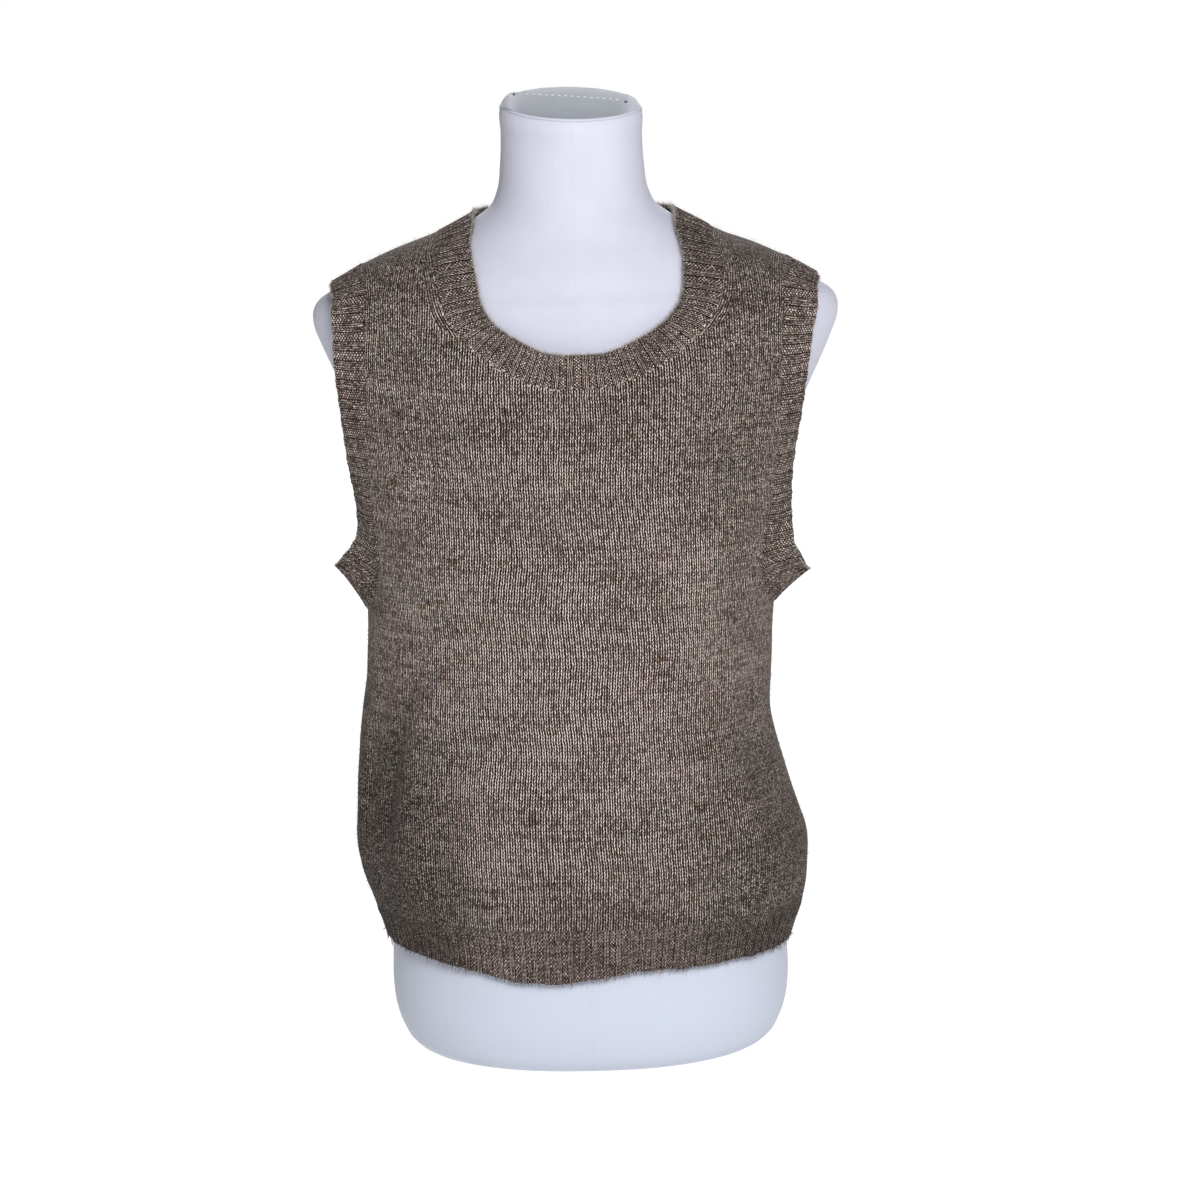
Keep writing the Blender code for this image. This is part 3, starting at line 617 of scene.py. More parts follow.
def tint(share, first, second, kind="MIX"):
    return node("Mix", share, first, second, inputs=(0, 6, 7), output=2, data_type="RGBA",
                blend_type=kind)


def looks(**inputs):
    """Sets the material's looks."""
    for key, value in inputs.items():
        feed(tree.nodes["Principled BSDF"].inputs[key.replace("_", " ")], value)


def bump(height, distance):
    looks(Normal=node("Bump", distance, height, inputs=("Distance", "Height")))


def begin(name, colour, roughness):
    """A new material, to which the nodes that are made from here on belong."""
    global tree
    material = bpy.data.materials.new(name)
    material.use_nodes = True
    material.diffuse_color = (*colour, 1.0)
    tree = material.node_tree
    looks(Base_Color=colour, Roughness=roughness, Specular_IOR_Level=0.25)
    return material


def knit_side(wale, course):
    """Face of plain knitting: how near a place is to the middle of a stitch's leg, which leans
    outward from its column's middle as it rises, and a number for each leg."""
    reach = abs(wale.fract() - 0.5) * 2.0
    risen = course - reach * 0.5
    rise = risen.fract()
    leg = abs(reach - (rise * 0.24 + 0.34)).eased(0.03, 0.38, 1.0, 0.0)
    # tuck darkens each leg's ends: painted shade where it tucks behind the next stitch.
    tuck = abs(rise - 0.5).eased(0.27, 0.5, 1.0, 0.42)
    return leg * tuck, speck((wale * 2.0).floor(), risen.floor())


def purl_side(wale, course):
    """The other face: short bumps in staggered rows, two to a column."""
    halves = wale * 2.0
    across = 1.0 - abs(halves.fract() * 2.0 - 1.0)
    stagger = course + halves.floor() * 0.5
    high = 1.0 - abs(stagger.fract() * 2.0 - 1.0)
    return ((across + 0.35) * high).eased(0.15, 0.85), speck(halves.floor(), stagger.floor(), 7.0)


def melange(wale, course):
    """Uneven colour of the yarn: streaks along the rows, wide clouds, dark slubs, and loose hair."""
    streak = noise((wale * 0.075, course * 0.62), 1.0, 3.0, 0.68) - 0.5
    cloud = noise((wale * 0.05, course * 0.08, 5.0), 1.0, 2.0, 0.6) - 0.5
    slub = noise((wale * 0.23, course * 0.34, 11.0), 1.0, 0.0).eased(0.72, 0.82)
    bend = (noise((wale, course, 13.0), 0.6, 1.0) - 0.5) * 1.6
    rise = course * 0.67
    right = wale + rise + bend
    left = wale + bend - rise
    hair = 0.0
    for along, across, seed in ((right, left, 9.0), (left, right, 4.0)):
        strand = noise((along * 4.0, across * 1.6, seed), 1.0, 1.0, 0.7)
        cell = speck((along * 3.2).floor(), (across * 1.5).floor(), seed)
        hair = hair + (strand - 0.5) + (cell - 0.5) * 0.18
    return streak, cloud, slub, hair


def wobble(wale, course, scale, seed):
    """Slow sideways drift of the columns."""
    return noise((wale * scale, course * scale, seed), 1.0, 1.0) - 0.5


# The yarn's tones: the darkest are painted shade in its hollows, the lightest its fibres
YARN = ((0.003, 0.0015, 0.001), (0.026, 0.0148, 0.0106), (0.142, 0.1015, 0.087),
        (0.4, 0.321, 0.292), (0.92, 0.8, 0.755))


def finish_wool(shade, dim, wale, course, slub, height, relief):
    """Colours the yarn for its shade, with slow changes of hue, olive slubs and painted shade on the
    low sides, hem and shoulders, and gives it its relief and nap."""
    colour = node("ValToRGB", shade)
    elements = colour.socket.node.color_ramp.elements
    while len(elements) < len(YARN):
        elements.new(0.5)
    for i, tone in enumerate(YARN):
        elements[i].position = i / (len(YARN) - 1)
        elements[i].color = (*tone, 1.0)
    hue = noise((wale * 0.06, course * 0.05, 17.0), 1.0, 2.0, 0.6).ranged(0.35, 0.65)
    for share, by in (
        (1.0, tint(hue, (0.985, 1.005, 0.975), (1.03, 0.99, 1.005))),
        (slub * 0.55, (1.0, 0.86, 0.62)),
        (attribute("haze"), (0.955, 1.0, 1.0)),
        # painted shade over the low sides, hem and shoulders
        (dim, (0.42, 0.43, 0.41)),
    ):
        colour = tint(share, colour, by, "MULTIPLY")
    bump(height, relief)
    looks(Base_Color=colour, Sheen_Weight=0.04, Sheen_Tint=(1.0, 0.78, 0.66), Sheen_Roughness=0.6)


def knit_material():
    material = begin("knit_stitches", (0.16, 0.128, 0.114), 0.95)
    wale, course, _ = uv("stitch")
    off, along, _ = uv("edge")
    haze, dim = attribute("haze"), attribute("dim")
    at_edge = maths("GREATER_THAN", attribute("fashioned"), 0.0)
    wale, course = at_edge.blend(wale, off), at_edge.blend(course, along)
    wale = wale + wobble(wale, course, 0.5, 3.0) * 0.36 + wobble(wale, course, 0.035, 2.0) * 2.2
    leg, leg_speck = knit_side(wale, course)
    streak, cloud, slub, hair = melange(wale, course)
    # Between the legs the shade falls to the yarn's darkest tones: painted shade in the hollows.
    stitched = leg * (leg_speck * 0.54 + 0.76) - 0.02
    hairy = (leg - 0.5) * 0.36 + hair * 1.3 + (leg_speck - 0.5) * 0.26 + 0.47
    # Where the painted shade is strong, the hair shows more and the yarn goes darker.
    shade = (haze.blend(stitched, hairy) + streak * 0.46 + cloud * 0.28 - slub * 0.14
             + hair * (dim * 1.5 + 0.25) - dim * 0.14)
    finish_wool(shade, dim, wale, course, slub, leg + hair * 0.6, 0.0007)
    return material


def rib_material():
    material = begin("rib_stitches", (0.14, 0.112, 0.1), 0.95)
    wale, course, _ = uv("stitch")
    haze, dim = attribute("haze"), attribute("dim")
    wale = wale + wobble(wale, course, 0.5, 3.0) * 0.35
    rib = (wale * 0.25).fract()
    knitted = maths("LESS_THAN", rib, 0.5)
    # Dark lines where knit and purl columns meet: painted shade in the creases between ribs.
    crease = abs((rib * 2.0 + 0.5).fract() - 0.5).eased(0.02, 0.15, 1.0, 0.0)
    leg, leg_speck = knit_side(wale, course)
    dot, dot_speck = purl_side(wale, course)
    streak, cloud, slub, hair = melange(wale, course)
    worn = (leg - 0.5) * 0.32 + hair * 1.3 + (leg_speck - 0.5) * 0.34 + 0.42
    knit_shade = haze.blend(leg * (leg_speck * 0.38 + 0.72) + 0.04, worn)
    purl_shade = dot * (dot_speck * 0.34 + 0.36) + hair * 0.6 + 0.19
    # Where the painted shade is strong, the hair shows more and the yarn goes darker.
    shade = (knitted.blend(purl_shade, knit_shade) + crease * (haze * 0.34 - 0.44)
             + streak * 0.38 + cloud * 0.24 - slub * 0.12 + hair * (dim * 1.2 + 0.28) - dim * 0.14)
    height = knitted.blend(dot * 0.7, leg) + hair * 0.6 - crease * 0.6
    finish_wool(shade, dim, wale, course, slub, height, 0.0006)
    return material


# Seams of the form's cover: degrees from the middle of the front, and their tops, tenths of a metre
FORM_SEAMS = ((0.0, 7.0), (44.0, 5.2), (90.0, 7.0), (136.0, 5.2), (180.0, 7.0))


def form_material():
    material = begin("form_cover", (0.44, 0.445, 0.52), 0.62)
    turn, height, _ = uv("form")
    seam = 0.0
    for angle, top in FORM_SEAMS:
        near = abs(abs(turn) - angle / 180.0).eased(0.0, 0.003, 1.0, 0.0)
        seam = seam + near * maths("LESS_THAN", height, top)
    mottle = noise(position(), 26.0, 2.0, 0.6).ranged(0.3, 0.7)
    colour = tint(mottle, (0.445, 0.452, 0.53), (0.475, 0.48, 0.56))
    colour = tint(height.ranged(0.5, 1.6, 1.0, 0.0), colour, (0.455, 0.487, 0.572))
    stretched = noise((turn * 60.0, height * 2.5), 1.0)
    bump(noise(position(), 2200.0, 1.0) * 0.05 + stretched * 0.25 - seam * 0.12, 0.0006)
    looks(Base_Color=tint(seam * 0.05, colour, (0.33, 0.335, 0.4)), Sheen_Weight=0.06)
    return material


def cap_material():
    material = begin("cap_cover", (0.52, 0.55, 0.6), 0.7)
    x, y, _ = split(position())
    weave = maths("SINE", x * 9000.0) * maths("SINE", y * 9000.0)
    mottle = noise(position(), 60.0, 2.0, 0.6)
    # Darker towards the front: painted shade where the lid sinks behind its rim.
    colour = tint(y.ranged(-0.045, 0.04), (0.24, 0.262, 0.304), (0.345, 0.37, 0.417))
    colour = tint(mottle.ranged(0.3, 0.7, 0.0, 0.1), colour, (0.45, 0.47, 0.52))
    looks(Base_Color=tint(attribute("lobe"), colour, (0.45, 0.457, 0.535)))
    bump(weave * 0.12 + mottle * 0.6, 0.0004)
    return material


def speckled(name, colour, roughness, scale, detail, spread, dark, light):
    """A material whose colour wanders between a dark and a light one."""
    material = begin(name, colour, roughness)
    patch = noise(position(), scale, detail).ranged(0.5 - spread, 0.5 + spread)
    looks(Base_Color=tint(patch, dark, light))
    return material


def fibre_material(name, colour, roughness=0.8, scale=260.0, shadow=0.55):
    dark = tuple(part * shadow for part in colour)
    return speckled(name, colour, roughness, scale, 1.0, 0.15, dark, colour)


knit = knit_material()
rib = rib_material()
fibre_light = fibre_material("fibre_light", (0.34, 0.275, 0.25))
fibre_dark = fibre_material("fibre_dark", (0.05, 0.037, 0.03))
fibre_pale = fibre_material("fibre_pale", (0.46, 0.42, 0.395))
chain = speckled("linking_yarn", (0.36, 0.31, 0.285), 0.85, 420.0, 2.0, 0.2,
                 (0.22, 0.18, 0.16), (0.62, 0.55, 0.51))
bump(noise(position(), 1800.0), 0.0002)
form_cloth = form_material()
cap_cloth = cap_material()
white_thread = fibre_material("white_thread", (0.86, 0.88, 0.93), 0.6, 1500.0, 0.7)
dark_thread = fibre_material("dark_thread", (0.05, 0.05, 0.06), 0.6, 1500.0, 0.7)


# --- panels
def shoulder(z):
    """How much painted shade darkens the yarn over the shoulders."""
    return 0.27 * ramp(z, 0.52, 0.57)


def painted_shade_at(angle, z):
    """Painted shade in the yarn's colour, towards the low sides where the cloth turns under, at the
    hem, in the crease low on the left hip, on the upper chest and over the shoulders.
    """
    turn = (angle + 180.0) % 360.0 - 180.0
    across = np.sin(np.radians(turn))
    low = ramp(z, 0.285, 0.2) * ramp(np.abs(across), 0.4, 0.85) * np.where(turn < 0, 1.04, 0.6)
    hem = 0.27 * ramp(z, 0.19, 0.11)
    fold = 0.76 * bell(turn, (z - 0.2) * 110.0 - 57.0, 6.0) * ramp(np.abs(z - 0.2), 0.1, 0.0)
    high = ramp(z, 0.34, 0.48) * (0.21 + 0.09 * across)
    return np.clip(low + high + shoulder(z) + hem + fold, 0, 1)


def add_panel(stem, node, front, refine):
    patches = panel_patches(front, refine)
    pairs = join(*(patch.reshape(-1, 2) for patch in patches))
    places, ids = np.unique(np.round(pairs, 7), axis=0, return_inverse=True)
    starts = np.cumsum([patch.shape[0] * patch.shape[1] for patch in patches])[:-1]
    quads = join(*(quads_of(part.reshape(patch.shape[:2]))
                   for part, patch in zip(np.split(ids.ravel(), starts), patches)))
    angle, z = places.T
    outer = apart(cloth(angle, z), front)
    inner = outer - normals_of(cloth, angle, z) * WALL
    across, up = cloth_places(angle, z, front)
    off, along, inside = edge_places(body(angle, z), z, front)
    onset = 0.26 + 0.22 * ramp(z, 0.45, 0.35)
    haze = (0.06 + 0.45 * ramp(np.abs(np.sin(np.radians(angle))), onset, onset + 0.34)
            + 0.2 * ramp(z, 0.53, 0.57) + 0.1 * waves(outer, 21, 0.05))
    haze = np.clip(haze + 0.3 * ramp(z, 0.16, 0.115), 0.04, 0.8)
    stitch = zipped(across / WALE + 0.5 + (0.0 if front else BACK_SHIFT), up / COURSE)
    # The last attribute is the painted shade of the low sides, hem and shoulders.
    add_knitted(stem, "panel", "knit", knit, node, outer, inner, quads,
                {"stitch": stitch, "edge": zipped(off / WALE, along / COURSE)},
                {"fashioned": inside * 1000.0, "haze": haze, "dim": painted_shade_at(angle, z)})


add_panel("front", "vest_front", True, FRONT_REFINE)
add_panel("back", "vest_back", False, BACK_REFINE)


# --- ribbed bands and hems
def hump(share, middle, width):
    return np.cos(np.clip((share - middle) / width, -1, 1) * math.pi / 2)


def rib_relief(share):
    """Height of a rib's outer face over the wall: two columns of knit, then two of purl."""
    knitted = np.maximum(hump(share, 0.22, 0.16), hump(share, 0.47, 0.16))
    purl = 0.25 * hump(share, 0.845, 0.25) + 0.25 * hump(share, -0.155, 0.25)
    return RIB_RELIEF * np.maximum(knitted, purl)


def add_ribbed(stem, node, rows, normals, haze, ease, closed=True, dim=None):
    """A ribbed strip from rows of points and normals. Its ribs rise within ease of its seam, and
    haze is how far brushed hair hides its stitches."""
    rows, normals = np.array(rows), np.array(normals)
    ribs = np.arange(rows.shape[1]) / POINTS_PER_RIB
    reach = join([0.0], np.cumsum(size_of(np.diff(rows, axis=0)).mean(axis=1)))
    risen = ramp(reach, 0.0, ease)[:, None] ** 2
    relief = rib_relief(ribs % 1.0) * (1.0 + 0.18 * waves(rows, 5, 0.02)) * risen
    outer = rows + normals * relief[..., None]
    free_edges[stem] = (outer[-1], outer[-3])
    quads = grid(*rows.shape[:2], closed)
    if np.cross(rows[0][1] - rows[0][0], rows[1][0] - rows[0][0]) @ normals[0][0] < 0:
        quads = quads[:, ::-1]
    stitch = zipped(4 * ribs - 0.38, (reach / COURSE)[:, None]).reshape(-1, 2)
    # A little painted shade on every band, more over the shoulders, unless one is given.
    dim = 0.1 + shoulder(rows[..., 2]) if dim is None else np.broadcast_to(dim, rows.shape[:2])
    add_knitted(stem, "rib", "rib_knit", rib, node, outer.reshape(-1, 3),
                (rows - normals * WALL).reshape(-1, 3), quads,
                {"stitch": stitch}, {"dim": dim.ravel(), "haze": np.full(dim.size, haze)})


def chord(points):
    """Direction along a closed line of points, from half a rib behind to half a rib ahead."""
    return np.roll(points, -6, axis=0) - np.roll(points, 6, axis=0)


def add_band(stem, seam, haze, ease, side=None):
    """A band from its seam to its free edge."""
    angle, z, out, back, up = seam.T
    starts = cloth(angle, z)
    start_normals = normals_of(cloth, angle, z)
    reach = zipped(out * (side or np.where(starts[:, 0] >= 0, 1.0, -1.0)), back, up)
    level = facing(unit(np.cross(start_normals, chord(starts))), reach)
    share = BAND_LEVEL_SHARE * (1 - 0.75 * bell(z, UNDERARM, 0.02))
    bend = starts + level * size_of(reach)[:, None] * share[:, None]
    first = starts + level * SEAM_GAP
    rows = []
    for share in np.arange(BAND_ROWS + 1) / BAND_ROWS:
        rest = 1 - share
        rows.append(first * rest * rest + bend * 2 * rest * share + (starts + reach) * share * share)
    normals = [start_normals]
    for i in range(1, BAND_ROWS + 1):
        across = rows[min(i + 1, BAND_ROWS)] - rows[i - 1]
        normal = facing(unit(np.cross(chord(rows[i]), across)), start_normals)
        normals.append(unit(sum(np.roll(normal, k, axis=0) for k in range(-5, 6))))
    add_ribbed(stem, stem, rows, normals, haze, ease)


def add_hem(stem, node, front):
    angle = hem_line(front, FINE)[:, 0]
    turned = (angle + 180.0) % 360.0 - 180.0
    edge = smooth(HEM_EDGE[:, 0], HEM_EDGE[:, 1:], turned)[:, 0]
    edge = edge + 0.0005 * waves(body(angle, edge), 8, 0.012) + 0.0028 * bell(turned, 12.0, 10.0)
    corner = bell(np.abs(turned), 82.0, 26.0) * np.where(turned < 0, 0.004, 0.0028)
    top = HEM_SEAM - SEAM_GAP
    rows, normals = [], []
    for i in range(HEM_ROWS + 1):
        height = top + (edge - top) * i / HEM_ROWS
        rows.append(apart(cloth(angle, height), front))
        normals.append(normals_of(cloth, angle, height))
        rows[i][:, 0] -= normals[i][:, 0] * corner * (i / HEM_ROWS) ** 1.5
    # The hem takes the painted shade that the cloth has at its height.
    add_ribbed(stem, node, rows, normals, 0.05, 0.008, closed=False, dim=painted_shade_at(angle, 0.105))


add_band("neckband", join(neck_line(True, FINE), neck_line(False, FINE)[1:-1]), 0.15, 0.002)
for side, way, haze in (("left", -1.0, 0.75), ("right", 1.0, 0.7)):
    seam = join(armhole_line(side, True, FINE), armhole_line(side, False, FINE)[::-1][1:-1])
    add_band("armband_" + side, seam, haze, 0.0035, way)
add_hem("hem_front", "hem_rib_front", True)
add_hem("hem_back", "hem_rib_back", False)


# --- fibres
def add_strands(name, slot, rng, roots, ways, curls, lengths, width, light, light_share):
    """Thin tapering strips, one for each root: two lengths each, bent by their curl."""
    count = len(roots)
    half = lengths[:, None] * 0.5
    widths = width * rng.uniform(0.7, 1.3, count)
    middle = roots + ways * half
    tip = middle + unit(ways + curls) * half
    wide = unit(np.cross(ways, rng.normal(size=(count, 3)))) * (widths * 0.5)[:, None]
    bend = wide * 0.8
    verts = np.stack((roots - wide, roots + wide, middle - bend, middle + bend, tip), axis=1)
    base = np.arange(count)[:, None] * 5
    faces = [base + np.array([[0, 1, 3, 2]]), base + np.array([[2, 3, 4]])]
    dark = rng.random(count) > light_share
    return add_piece(name, slot, verts.reshape(-1, 3), faces, [light, fibre_dark],
                     face_material=join(dark, dark))


def add_fibres(stem, count, seed, short, long, lift, light_share):
    """Fine loose fibres that stand out of a knitted piece's outer face."""
    slot, points, quads = outsides[stem]
    corners = points[quads]
    normals = np.cross(corners[:, 2] - corners[:, 0], corners[:, 3] - corners[:, 1])
    areas = size_of(normals)
    rng = np.random.default_rng(seed)
    chosen = rng.choice(len(quads), size=count, p=areas / areas.sum())
    a, b = rng.random((2, count, 1))
    p, q, r, s = corners[chosen].swapaxes(0, 1)
    roots = (p * (1 - a) + q * a) * (1 - b) + (s * (1 - a) + r * a) * b
    normal = unit(normals[chosen])
    sideways = unit(np.cross(normal, rng.normal(size=(count, 3))))
    rise = rng.uniform(*lift, (count, 1))
    ways = unit(normal * rise + sideways * (1 - rise))
    curls = rng.normal(size=(count, 3)) * 0.55 + np.array((0.0, 0.0, -0.12))
    curls = curls - normal * 0.35 * rng.random((count, 1))
    lengths = short + (long - short) * rng.random(count) ** 2.2
    return add_strands(stem + "_fibres", slot, rng, roots - normal * 0.0004, ways, curls, lengths,
                       FIBRE_WIDTH, fibre_light, light_share)


PANEL_FUZZ = (0.0012, 0.0075, (0.15, 0.85), 0.8)  # shortest, longest, rise, share of light ones
BAND_FUZZ = (0.001, 0.0045, (0.2, 0.9), 0.8)
HEM_FUZZ = (0.001, 0.0045, (0.2, 0.9), 0.75)
loose = {stem: [add_fibres(stem, count, seed, *look)] for stem, count, seed, look in (
    ("front", 36000, 11, PANEL_FUZZ),
    ("back", 24000, 12, PANEL_FUZZ),
    ("neckband", 5500, 13, BAND_FUZZ),
    ("armband_left", 5000, 14, BAND_FUZZ),
    ("armband_right", 5000, 15, BAND_FUZZ),
    ("hem_front", 5500, 16, HEM_FUZZ),
    ("hem_back", 4500, 17, HEM_FUZZ),
)}


def add_edge_fibres(stem, count, seed, spread, short, long, width, light, light_share):
    """Fibres that stand out past a strip's free edge."""
    edge, before = free_edges[stem]
    rng = np.random.default_rng(seed)
    place = rng.random(count) * (len(edge) - 1)
    i = place.astype(int)
    share = (place - i)[:, None]
    roots = edge[i] * (1 - share) + edge[i + 1] * share
    forward = unit(edge - before)[i]
    ways = unit(forward + rng.normal(size=(count, 3)) * spread)
    curls = rng.normal(size=(count, 3)) * 0.6
    lengths = short + (long - short) * rng.random(count) ** 2.0
    return add_strands(stem + "_edge_fibres", "rib_knit", rng, roots - forward * 0.0006, ways, curls,
                       lengths, width, light, light_share)


# Spread, shortest, longest, width, material, share of light ones
ARM_EDGE = (0.5, 0.0008, 0.0034, 0.0001, fibre_pale, 0.9)
HEM_FRAY = (0.7, 0.0008, 0.0085, 0.00026, fibre_light, 0.2)
for stem, count, seed, look in (
    ("neckband", 14000, 31, (0.8, 0.001, 0.0058, 0.0001, fibre_pale, 0.96)),
    ("armband_left", 5600, 32, ARM_EDGE),
    ("armband_right", 5600, 33, ARM_EDGE),
    ("hem_front", 1500, 34, HEM_FRAY),
    ("hem_back", 1400, 35, HEM_FRAY),
):
    loose[stem].append(add_edge_fibres(stem, count, seed, *look))


# --- linking chain at the neck seam
BEAD_RINGS = ((-0.9, 0.35), (-0.45, 0.85), (0.0, 1.0), (0.45, 0.85), (0.9, 0.35))  # place, size
BEAD_SIDES = 6
CHAIN_TOP = 0.548  # height where the chain ends
CHAIN_PITCH = 0.0029


def add_beads(name, slot, material, centres, ways, ups, length, width):
    """Small spindle-shaped loops of yarn, one for each centre."""
    across = unit(np.cross(ways, ups))
    ups = unit(np.cross(across, ways))
    verts = []
    for place, size in BEAD_RINGS:
        for turn in full_turn(BEAD_SIDES)[:-1]:
            radius = width[:, None] * size
            verts.append(centres + ways * (place * length)[:, None]
                         + across * radius * math.cos(turn) + ups * radius * math.sin(turn))
    caps = join(*(fan(start, start + np.arange(1, BEAD_SIDES))
                  for start in (0, (len(BEAD_RINGS) - 1) * BEAD_SIDES)))
    base = np.arange(len(centres))[:, None, None] * len(verts)
    faces = [(base + part).reshape(-1, part.shape[1])
             for part in (grid(len(BEAD_RINGS), BEAD_SIDES, closed=True), caps)]
    return add_piece(name, slot, np.stack(verts, axis=1).reshape(-1, 3), faces, [material])


def add_linking():
    """The light chain of stitches that links the neckband to the front."""
    rng = np.random.default_rng(51)
    angle, z = neck_line(True, FINE)[:, :2].T
    places = cloth(angle, z)
    lengths = lengths_of(places)
    at = (np.arange(int(lengths[-1] / CHAIN_PITCH)) + 0.5) * CHAIN_PITCH
    centre = read_at(at, lengths, places)
    normal = unit(read_at(at, lengths, normals_of(cloth, angle, z)))
    way = unit(read_at(at + 0.001, lengths, places) - centre)
    seen = np.flatnonzero(centre[:, 2] < CHAIN_TOP)
    count = len(seen)
    seen = seen[rng.random(count) < 0.35 + 0.45 * np.sin(np.arange(count) * 0.9) ** 2]
    centre, normal, way = centre[seen], normal[seen], way[seen]
    down = unit(np.cross(way, normal))
    count = len(way)
    slant = unit(way + down * rng.uniform(-0.8, 0.8, (count, 1)))
    sunk = rng.uniform(0.0, 0.0006, (count, 1))
    centre = centre + normal * (0.0007 - sunk) + down * rng.uniform(-0.0013, 0.0013, (count, 1))
    return add_beads("neck_linking_chain", "rib_knit", chain, centre, slant, normal,
                     rng.uniform(0.0009, 0.0017, count), rng.uniform(0.0004, 0.00075, count))


loose["front"].append(add_linking())


# --- dress form
FORM_COLUMNS = 144
FORM_ROW = 0.0045  # greatest height of one row of faces
CAP_SIDES = 96
CAP_RINGS = 26
LID_STITCHES = 15
TOP = FORM[-1]
CAP_SEAM = ((-0.82, 0.4), (0.8, 0.06))  # ends of the stitched line, as shares of the top's reach
LOBE_START = 0.78  # where the cover's corners begin, of the reach to the side


def add_form():
    heights = join(*(
        np.linspace(low, high, max(2, math.ceil((high - low) / FORM_ROW)), endpoint=False)
        for low, high in zip(FORM[:-1, 0], FORM[1:, 0])), TOP[:1])
    turns = np.linspace(-180.0, 180.0, FORM_COLUMNS + 1)
    side, *reaches = np.moveaxis(smooth(FORM[:, 0], FORM[:, 1:], heights[:, None]), -1, 0)
    points = outline(turns[None, :], heights[:, None], side, side, *reaches)
    above = np.maximum(0.0, heights - NECK_TILT_START)[:, None] / (TOP[0] - NECK_TILT_START)
    points[..., 2] += above * (NECK_TILT * points[..., 1] - NECK_LEAN * points[..., 0])
    rows, columns = points.shape[:2]
    verts = join(points.reshape(-1, 3), [[0.0, 0.0, 0.0], points[-1, :-1].mean(axis=0)])
    uv = zipped(turns / 180.0, heights[:, None] / 0.1).reshape(-1, 2)
    ring = np.arange(columns)
    faces = [grid(rows, columns), fan(rows * columns, ring[::-1]),
             fan(rows * columns + 1, ring + (rows - 1) * columns)]
    return add_piece("form_body", "form_fabric", verts, faces, [form_cloth],
                     {"form": join(uv, [[0.5, 0.0], [0.5, 6.6]])}, node="dress_form")


def top_points(across, along, rise=0.0):
    """Points over the neck's tilted top: shares of its reach to the side and to front or back."""
    height, side, front, back, _ = TOP
    x = across * side
    y = np.where(along < 0, along * front, along * back)
    return zipped(x, y, height + NECK_TILT * y - NECK_LEAN * x + rise)


def cap_points(x, y, rise):
    """Points of the lid, which sinks along its front, is drawn in at its sewn corners and reaches
    out over the neck's sides there."""
    radius = np.sqrt(x * x + y * y)
    level = 0.0006 + 0.0022 * np.clip(1 - radius ** 4, 0, 1)
    level = level - 0.0024 * np.clip(-y, 0, 1) * np.clip(1 - radius, 0, 1)
    corner = ramp(np.abs(x), LOBE_START, 1.0)
    level = level + np.where(x < 0, 0.006, 0.0022) * corner * (1 - corner) - 0.0036 * corner ** 3
    for px, py in CAP_SEAM:
        level = level - 0.0012 * np.exp(-((x - px) ** 2 + (y - py) ** 2) / 0.004)
    return top_points(x * (1 + 0.03 * corner ** 2), y, level + rise)


def add_cap():
    """The lid on the form's neck, with its edge turned under."""
    turn = full_turn(CAP_SIDES)
    radii = np.linspace(0.0, 1.0, CAP_RINGS + 1)[1:, None]
    x, y = radii * np.sin(turn), -radii * np.cos(turn)
    under = cap_points(x[-1:] * 0.985, y[-1:] * 0.985, GAP - 0.001)
    net = join(cap_points(x, y, GAP), under)
    rows, columns = net.shape[:2]
    verts = join(net.reshape(-1, 3), cap_points(np.zeros(1), np.zeros(1), GAP))
    lobe = ramp(np.abs(x), 0.66, 0.86) ** 2
    faces = [grid(rows, columns)[:, ::-1], fan(rows * columns, np.arange(columns))]
    add_piece("neck_lid", "cap_fabric", verts, faces, [cap_cloth], node="form_neck_cap",
              floats={"lobe": join(lobe.ravel(), lobe[-1], np.zeros(1))})


def add_rim():
    """The lip of the form's cover along the front of the lid."""
    turn = full_turn(FORM_COLUMNS)
    front = np.clip(np.cos(turn) * 2.2, 0, 1)
    rise = 0.0001 + 0.00055 * front
    drop = 0.003 * ramp(np.abs(np.sin(turn)), LOBE_START, 1.0) ** 3
    around = np.linspace(0, 2 * math.pi, 9)[:, None]
    outward = 1.0 + ((0.0002 + 0.0008 * front) * np.cos(around) - 0.0001) / 0.046
    net = top_points(np.sin(turn) * outward, -np.cos(turn) * outward,
                     rise + (rise + 0.0004) * np.sin(around) - drop)
    add_piece("neck_rim", "form_fabric", net.reshape(-1, 3), [grid(*net.shape[:2])[:, ::-1]],
              [form_cloth], {"form": np.full((net.size // 3, 2), (0.12, 6.6))})


def add_lid_stitches():
    """The sewn line across the lid and the dark thread at its two ends."""
    (x0, y0), (x1, y1) = CAP_SEAM
    share = 0.09 + 0.86 * (np.arange(LID_STITCHES) + 0.5) / LID_STITCHES
    centres = cap_points(x0 + (x1 - x0) * share, y0 + (y1 - y0) * share, GAP + 0.0002)
    way = unit(np.broadcast_to(top_points(x1, y1) - top_points(x0, y0), centres.shape))
    up = np.broadcast_to((0.0, -NECK_TILT, 1.0), centres.shape)
    add_beads("lid_stitches", "form_fabric", white_thread, centres, way, up,
              np.full(LID_STITCHES, 0.0011), np.full(LID_STITCHES, 0.0005))
    ends = cap_points(*np.array(CAP_SEAM).T, GAP + 0.0008)
    way = unit(np.array(((0.25, -0.9, 0.2), (-0.55, -0.8, 0.2))))
    add_beads("lid_dark_stitches", "form_fabric", dark_thread, ends, way,
              np.array(((0, 0, 1.0),) * 2), np.full(2, 0.0021), np.full(2, 0.0007))


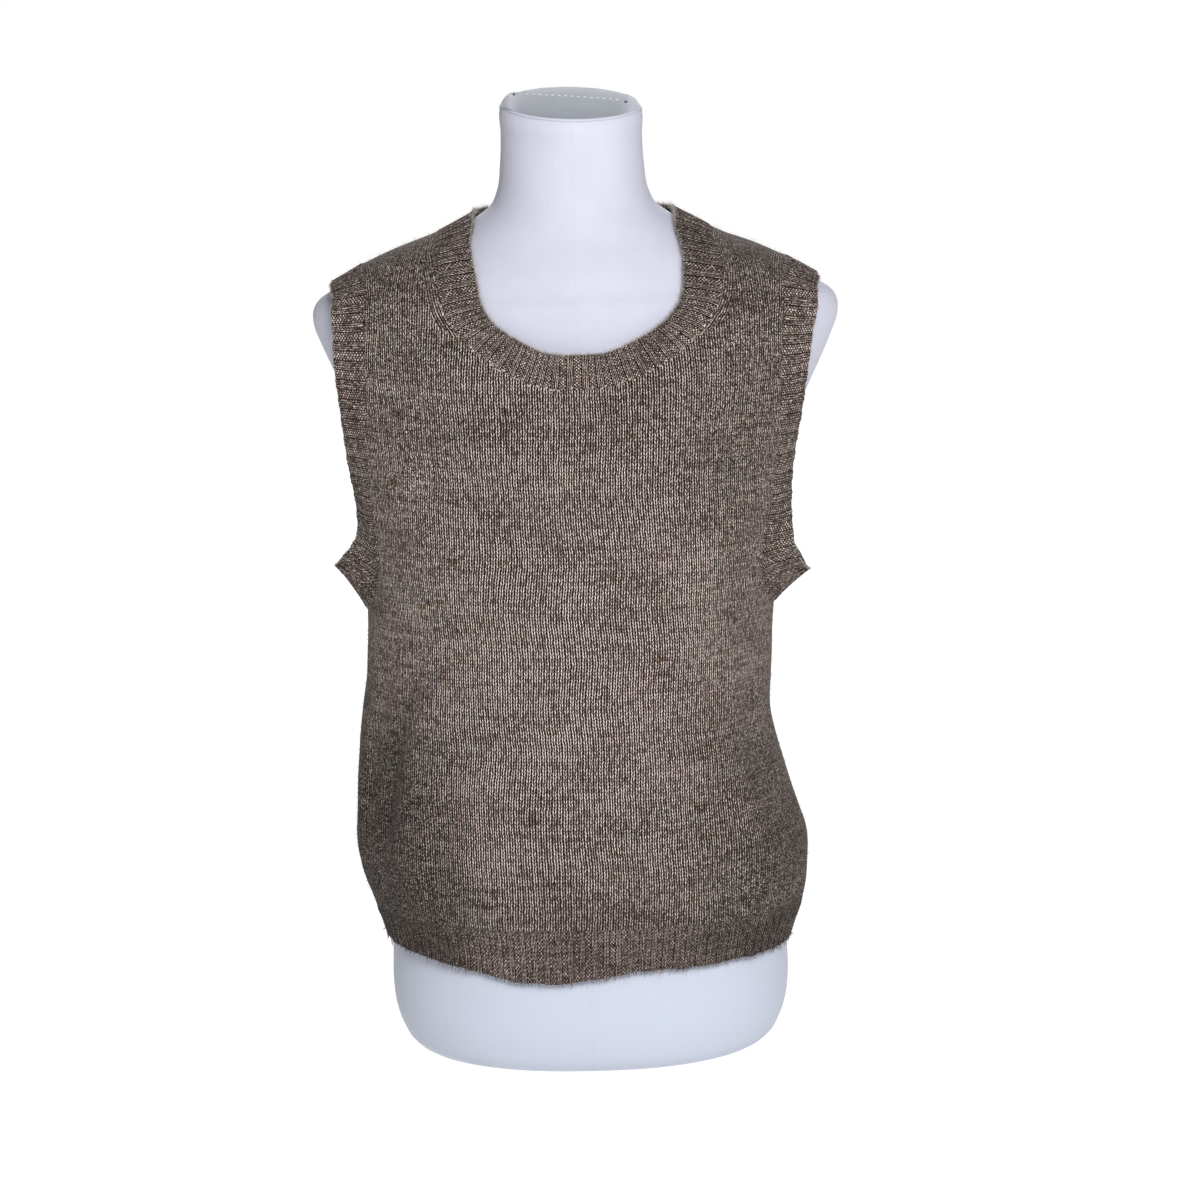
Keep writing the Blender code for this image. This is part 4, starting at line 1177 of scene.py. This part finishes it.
form_body = add_form()
add_cap()
add_rim()
add_lid_stitches()

# --- studio
WORLD_LIGHT = 0.135
FLOOR_GLOW = 0.97
FLOOR_REACH = 30.0
CAMERA_PLACE = (0.01258, -3.0, 0.8817)
CAMERA_PITCH = math.radians(10.6)
CAMERA_ROLL = math.radians(1.3)
CAMERA_LENS = 129.42
AIM = Vector((0.0, 0.0, 0.35))  # what the lamps point at


def add_lamp(name, place, size, power):
    data = bpy.data.lights.new(name, "AREA")
    data.size = size
    data.energy = power
    lamp = add_object(name, data)
    lamp.location = place
    lamp.rotation_euler = (Vector(place) - AIM).to_track_quat("Z", "Y").to_euler()


def set_world():
    """White behind the object, and a weaker white light from all round."""
    global tree
    world = scene.world = bpy.data.worlds.new("studio")
    world.use_nodes = True
    tree = world.node_tree
    light, wall = (node("Background", (1.0, 1.0, 1.0), strength) for strength in (WORLD_LIGHT, 1.0))
    seen = node("MixShader", node("LightPath", output="Is Camera Ray"), light, wall)
    feed(tree.nodes["World Output"].inputs["Surface"], seen)


set_world()
floor_look = speckled("studio_floor", (0.2,) * 3, 0.9, 1.5, 1.0, 0.5, (0.195,) * 3, (0.205,) * 3)
looks(Emission_Color=(1.0, 1.0, 1.0), Emission_Strength=FLOOR_GLOW)
corners = np.array(((-1, -1, 0), (1, -1, 0), (1, 1, 0), (-1, 1, 0))) * FLOOR_REACH
make_object("studio_floor", corners, [np.array([[0, 1, 2, 3]])], [floor_look])
add_lamp("key", (0.58, -2.62, 1.9), 1.0, 107.0)
add_lamp("back_light", (0.0, 2.9, 1.6), 1.4, 72.0)

camera_data = bpy.data.cameras.new("camera")
camera_data.sensor_width = 36.0
camera_data.lens = CAMERA_LENS
camera_data.clip_end = 100.0
camera = scene.camera = add_object("camera", camera_data)
camera.matrix_world = (
    Matrix.Translation(CAMERA_PLACE)
    @ Matrix.Rotation(math.radians(90) - CAMERA_PITCH, 4, "X")
    @ Matrix.Rotation(-CAMERA_ROLL, 4, "Z")
)
scene.view_settings.view_transform = "Standard"
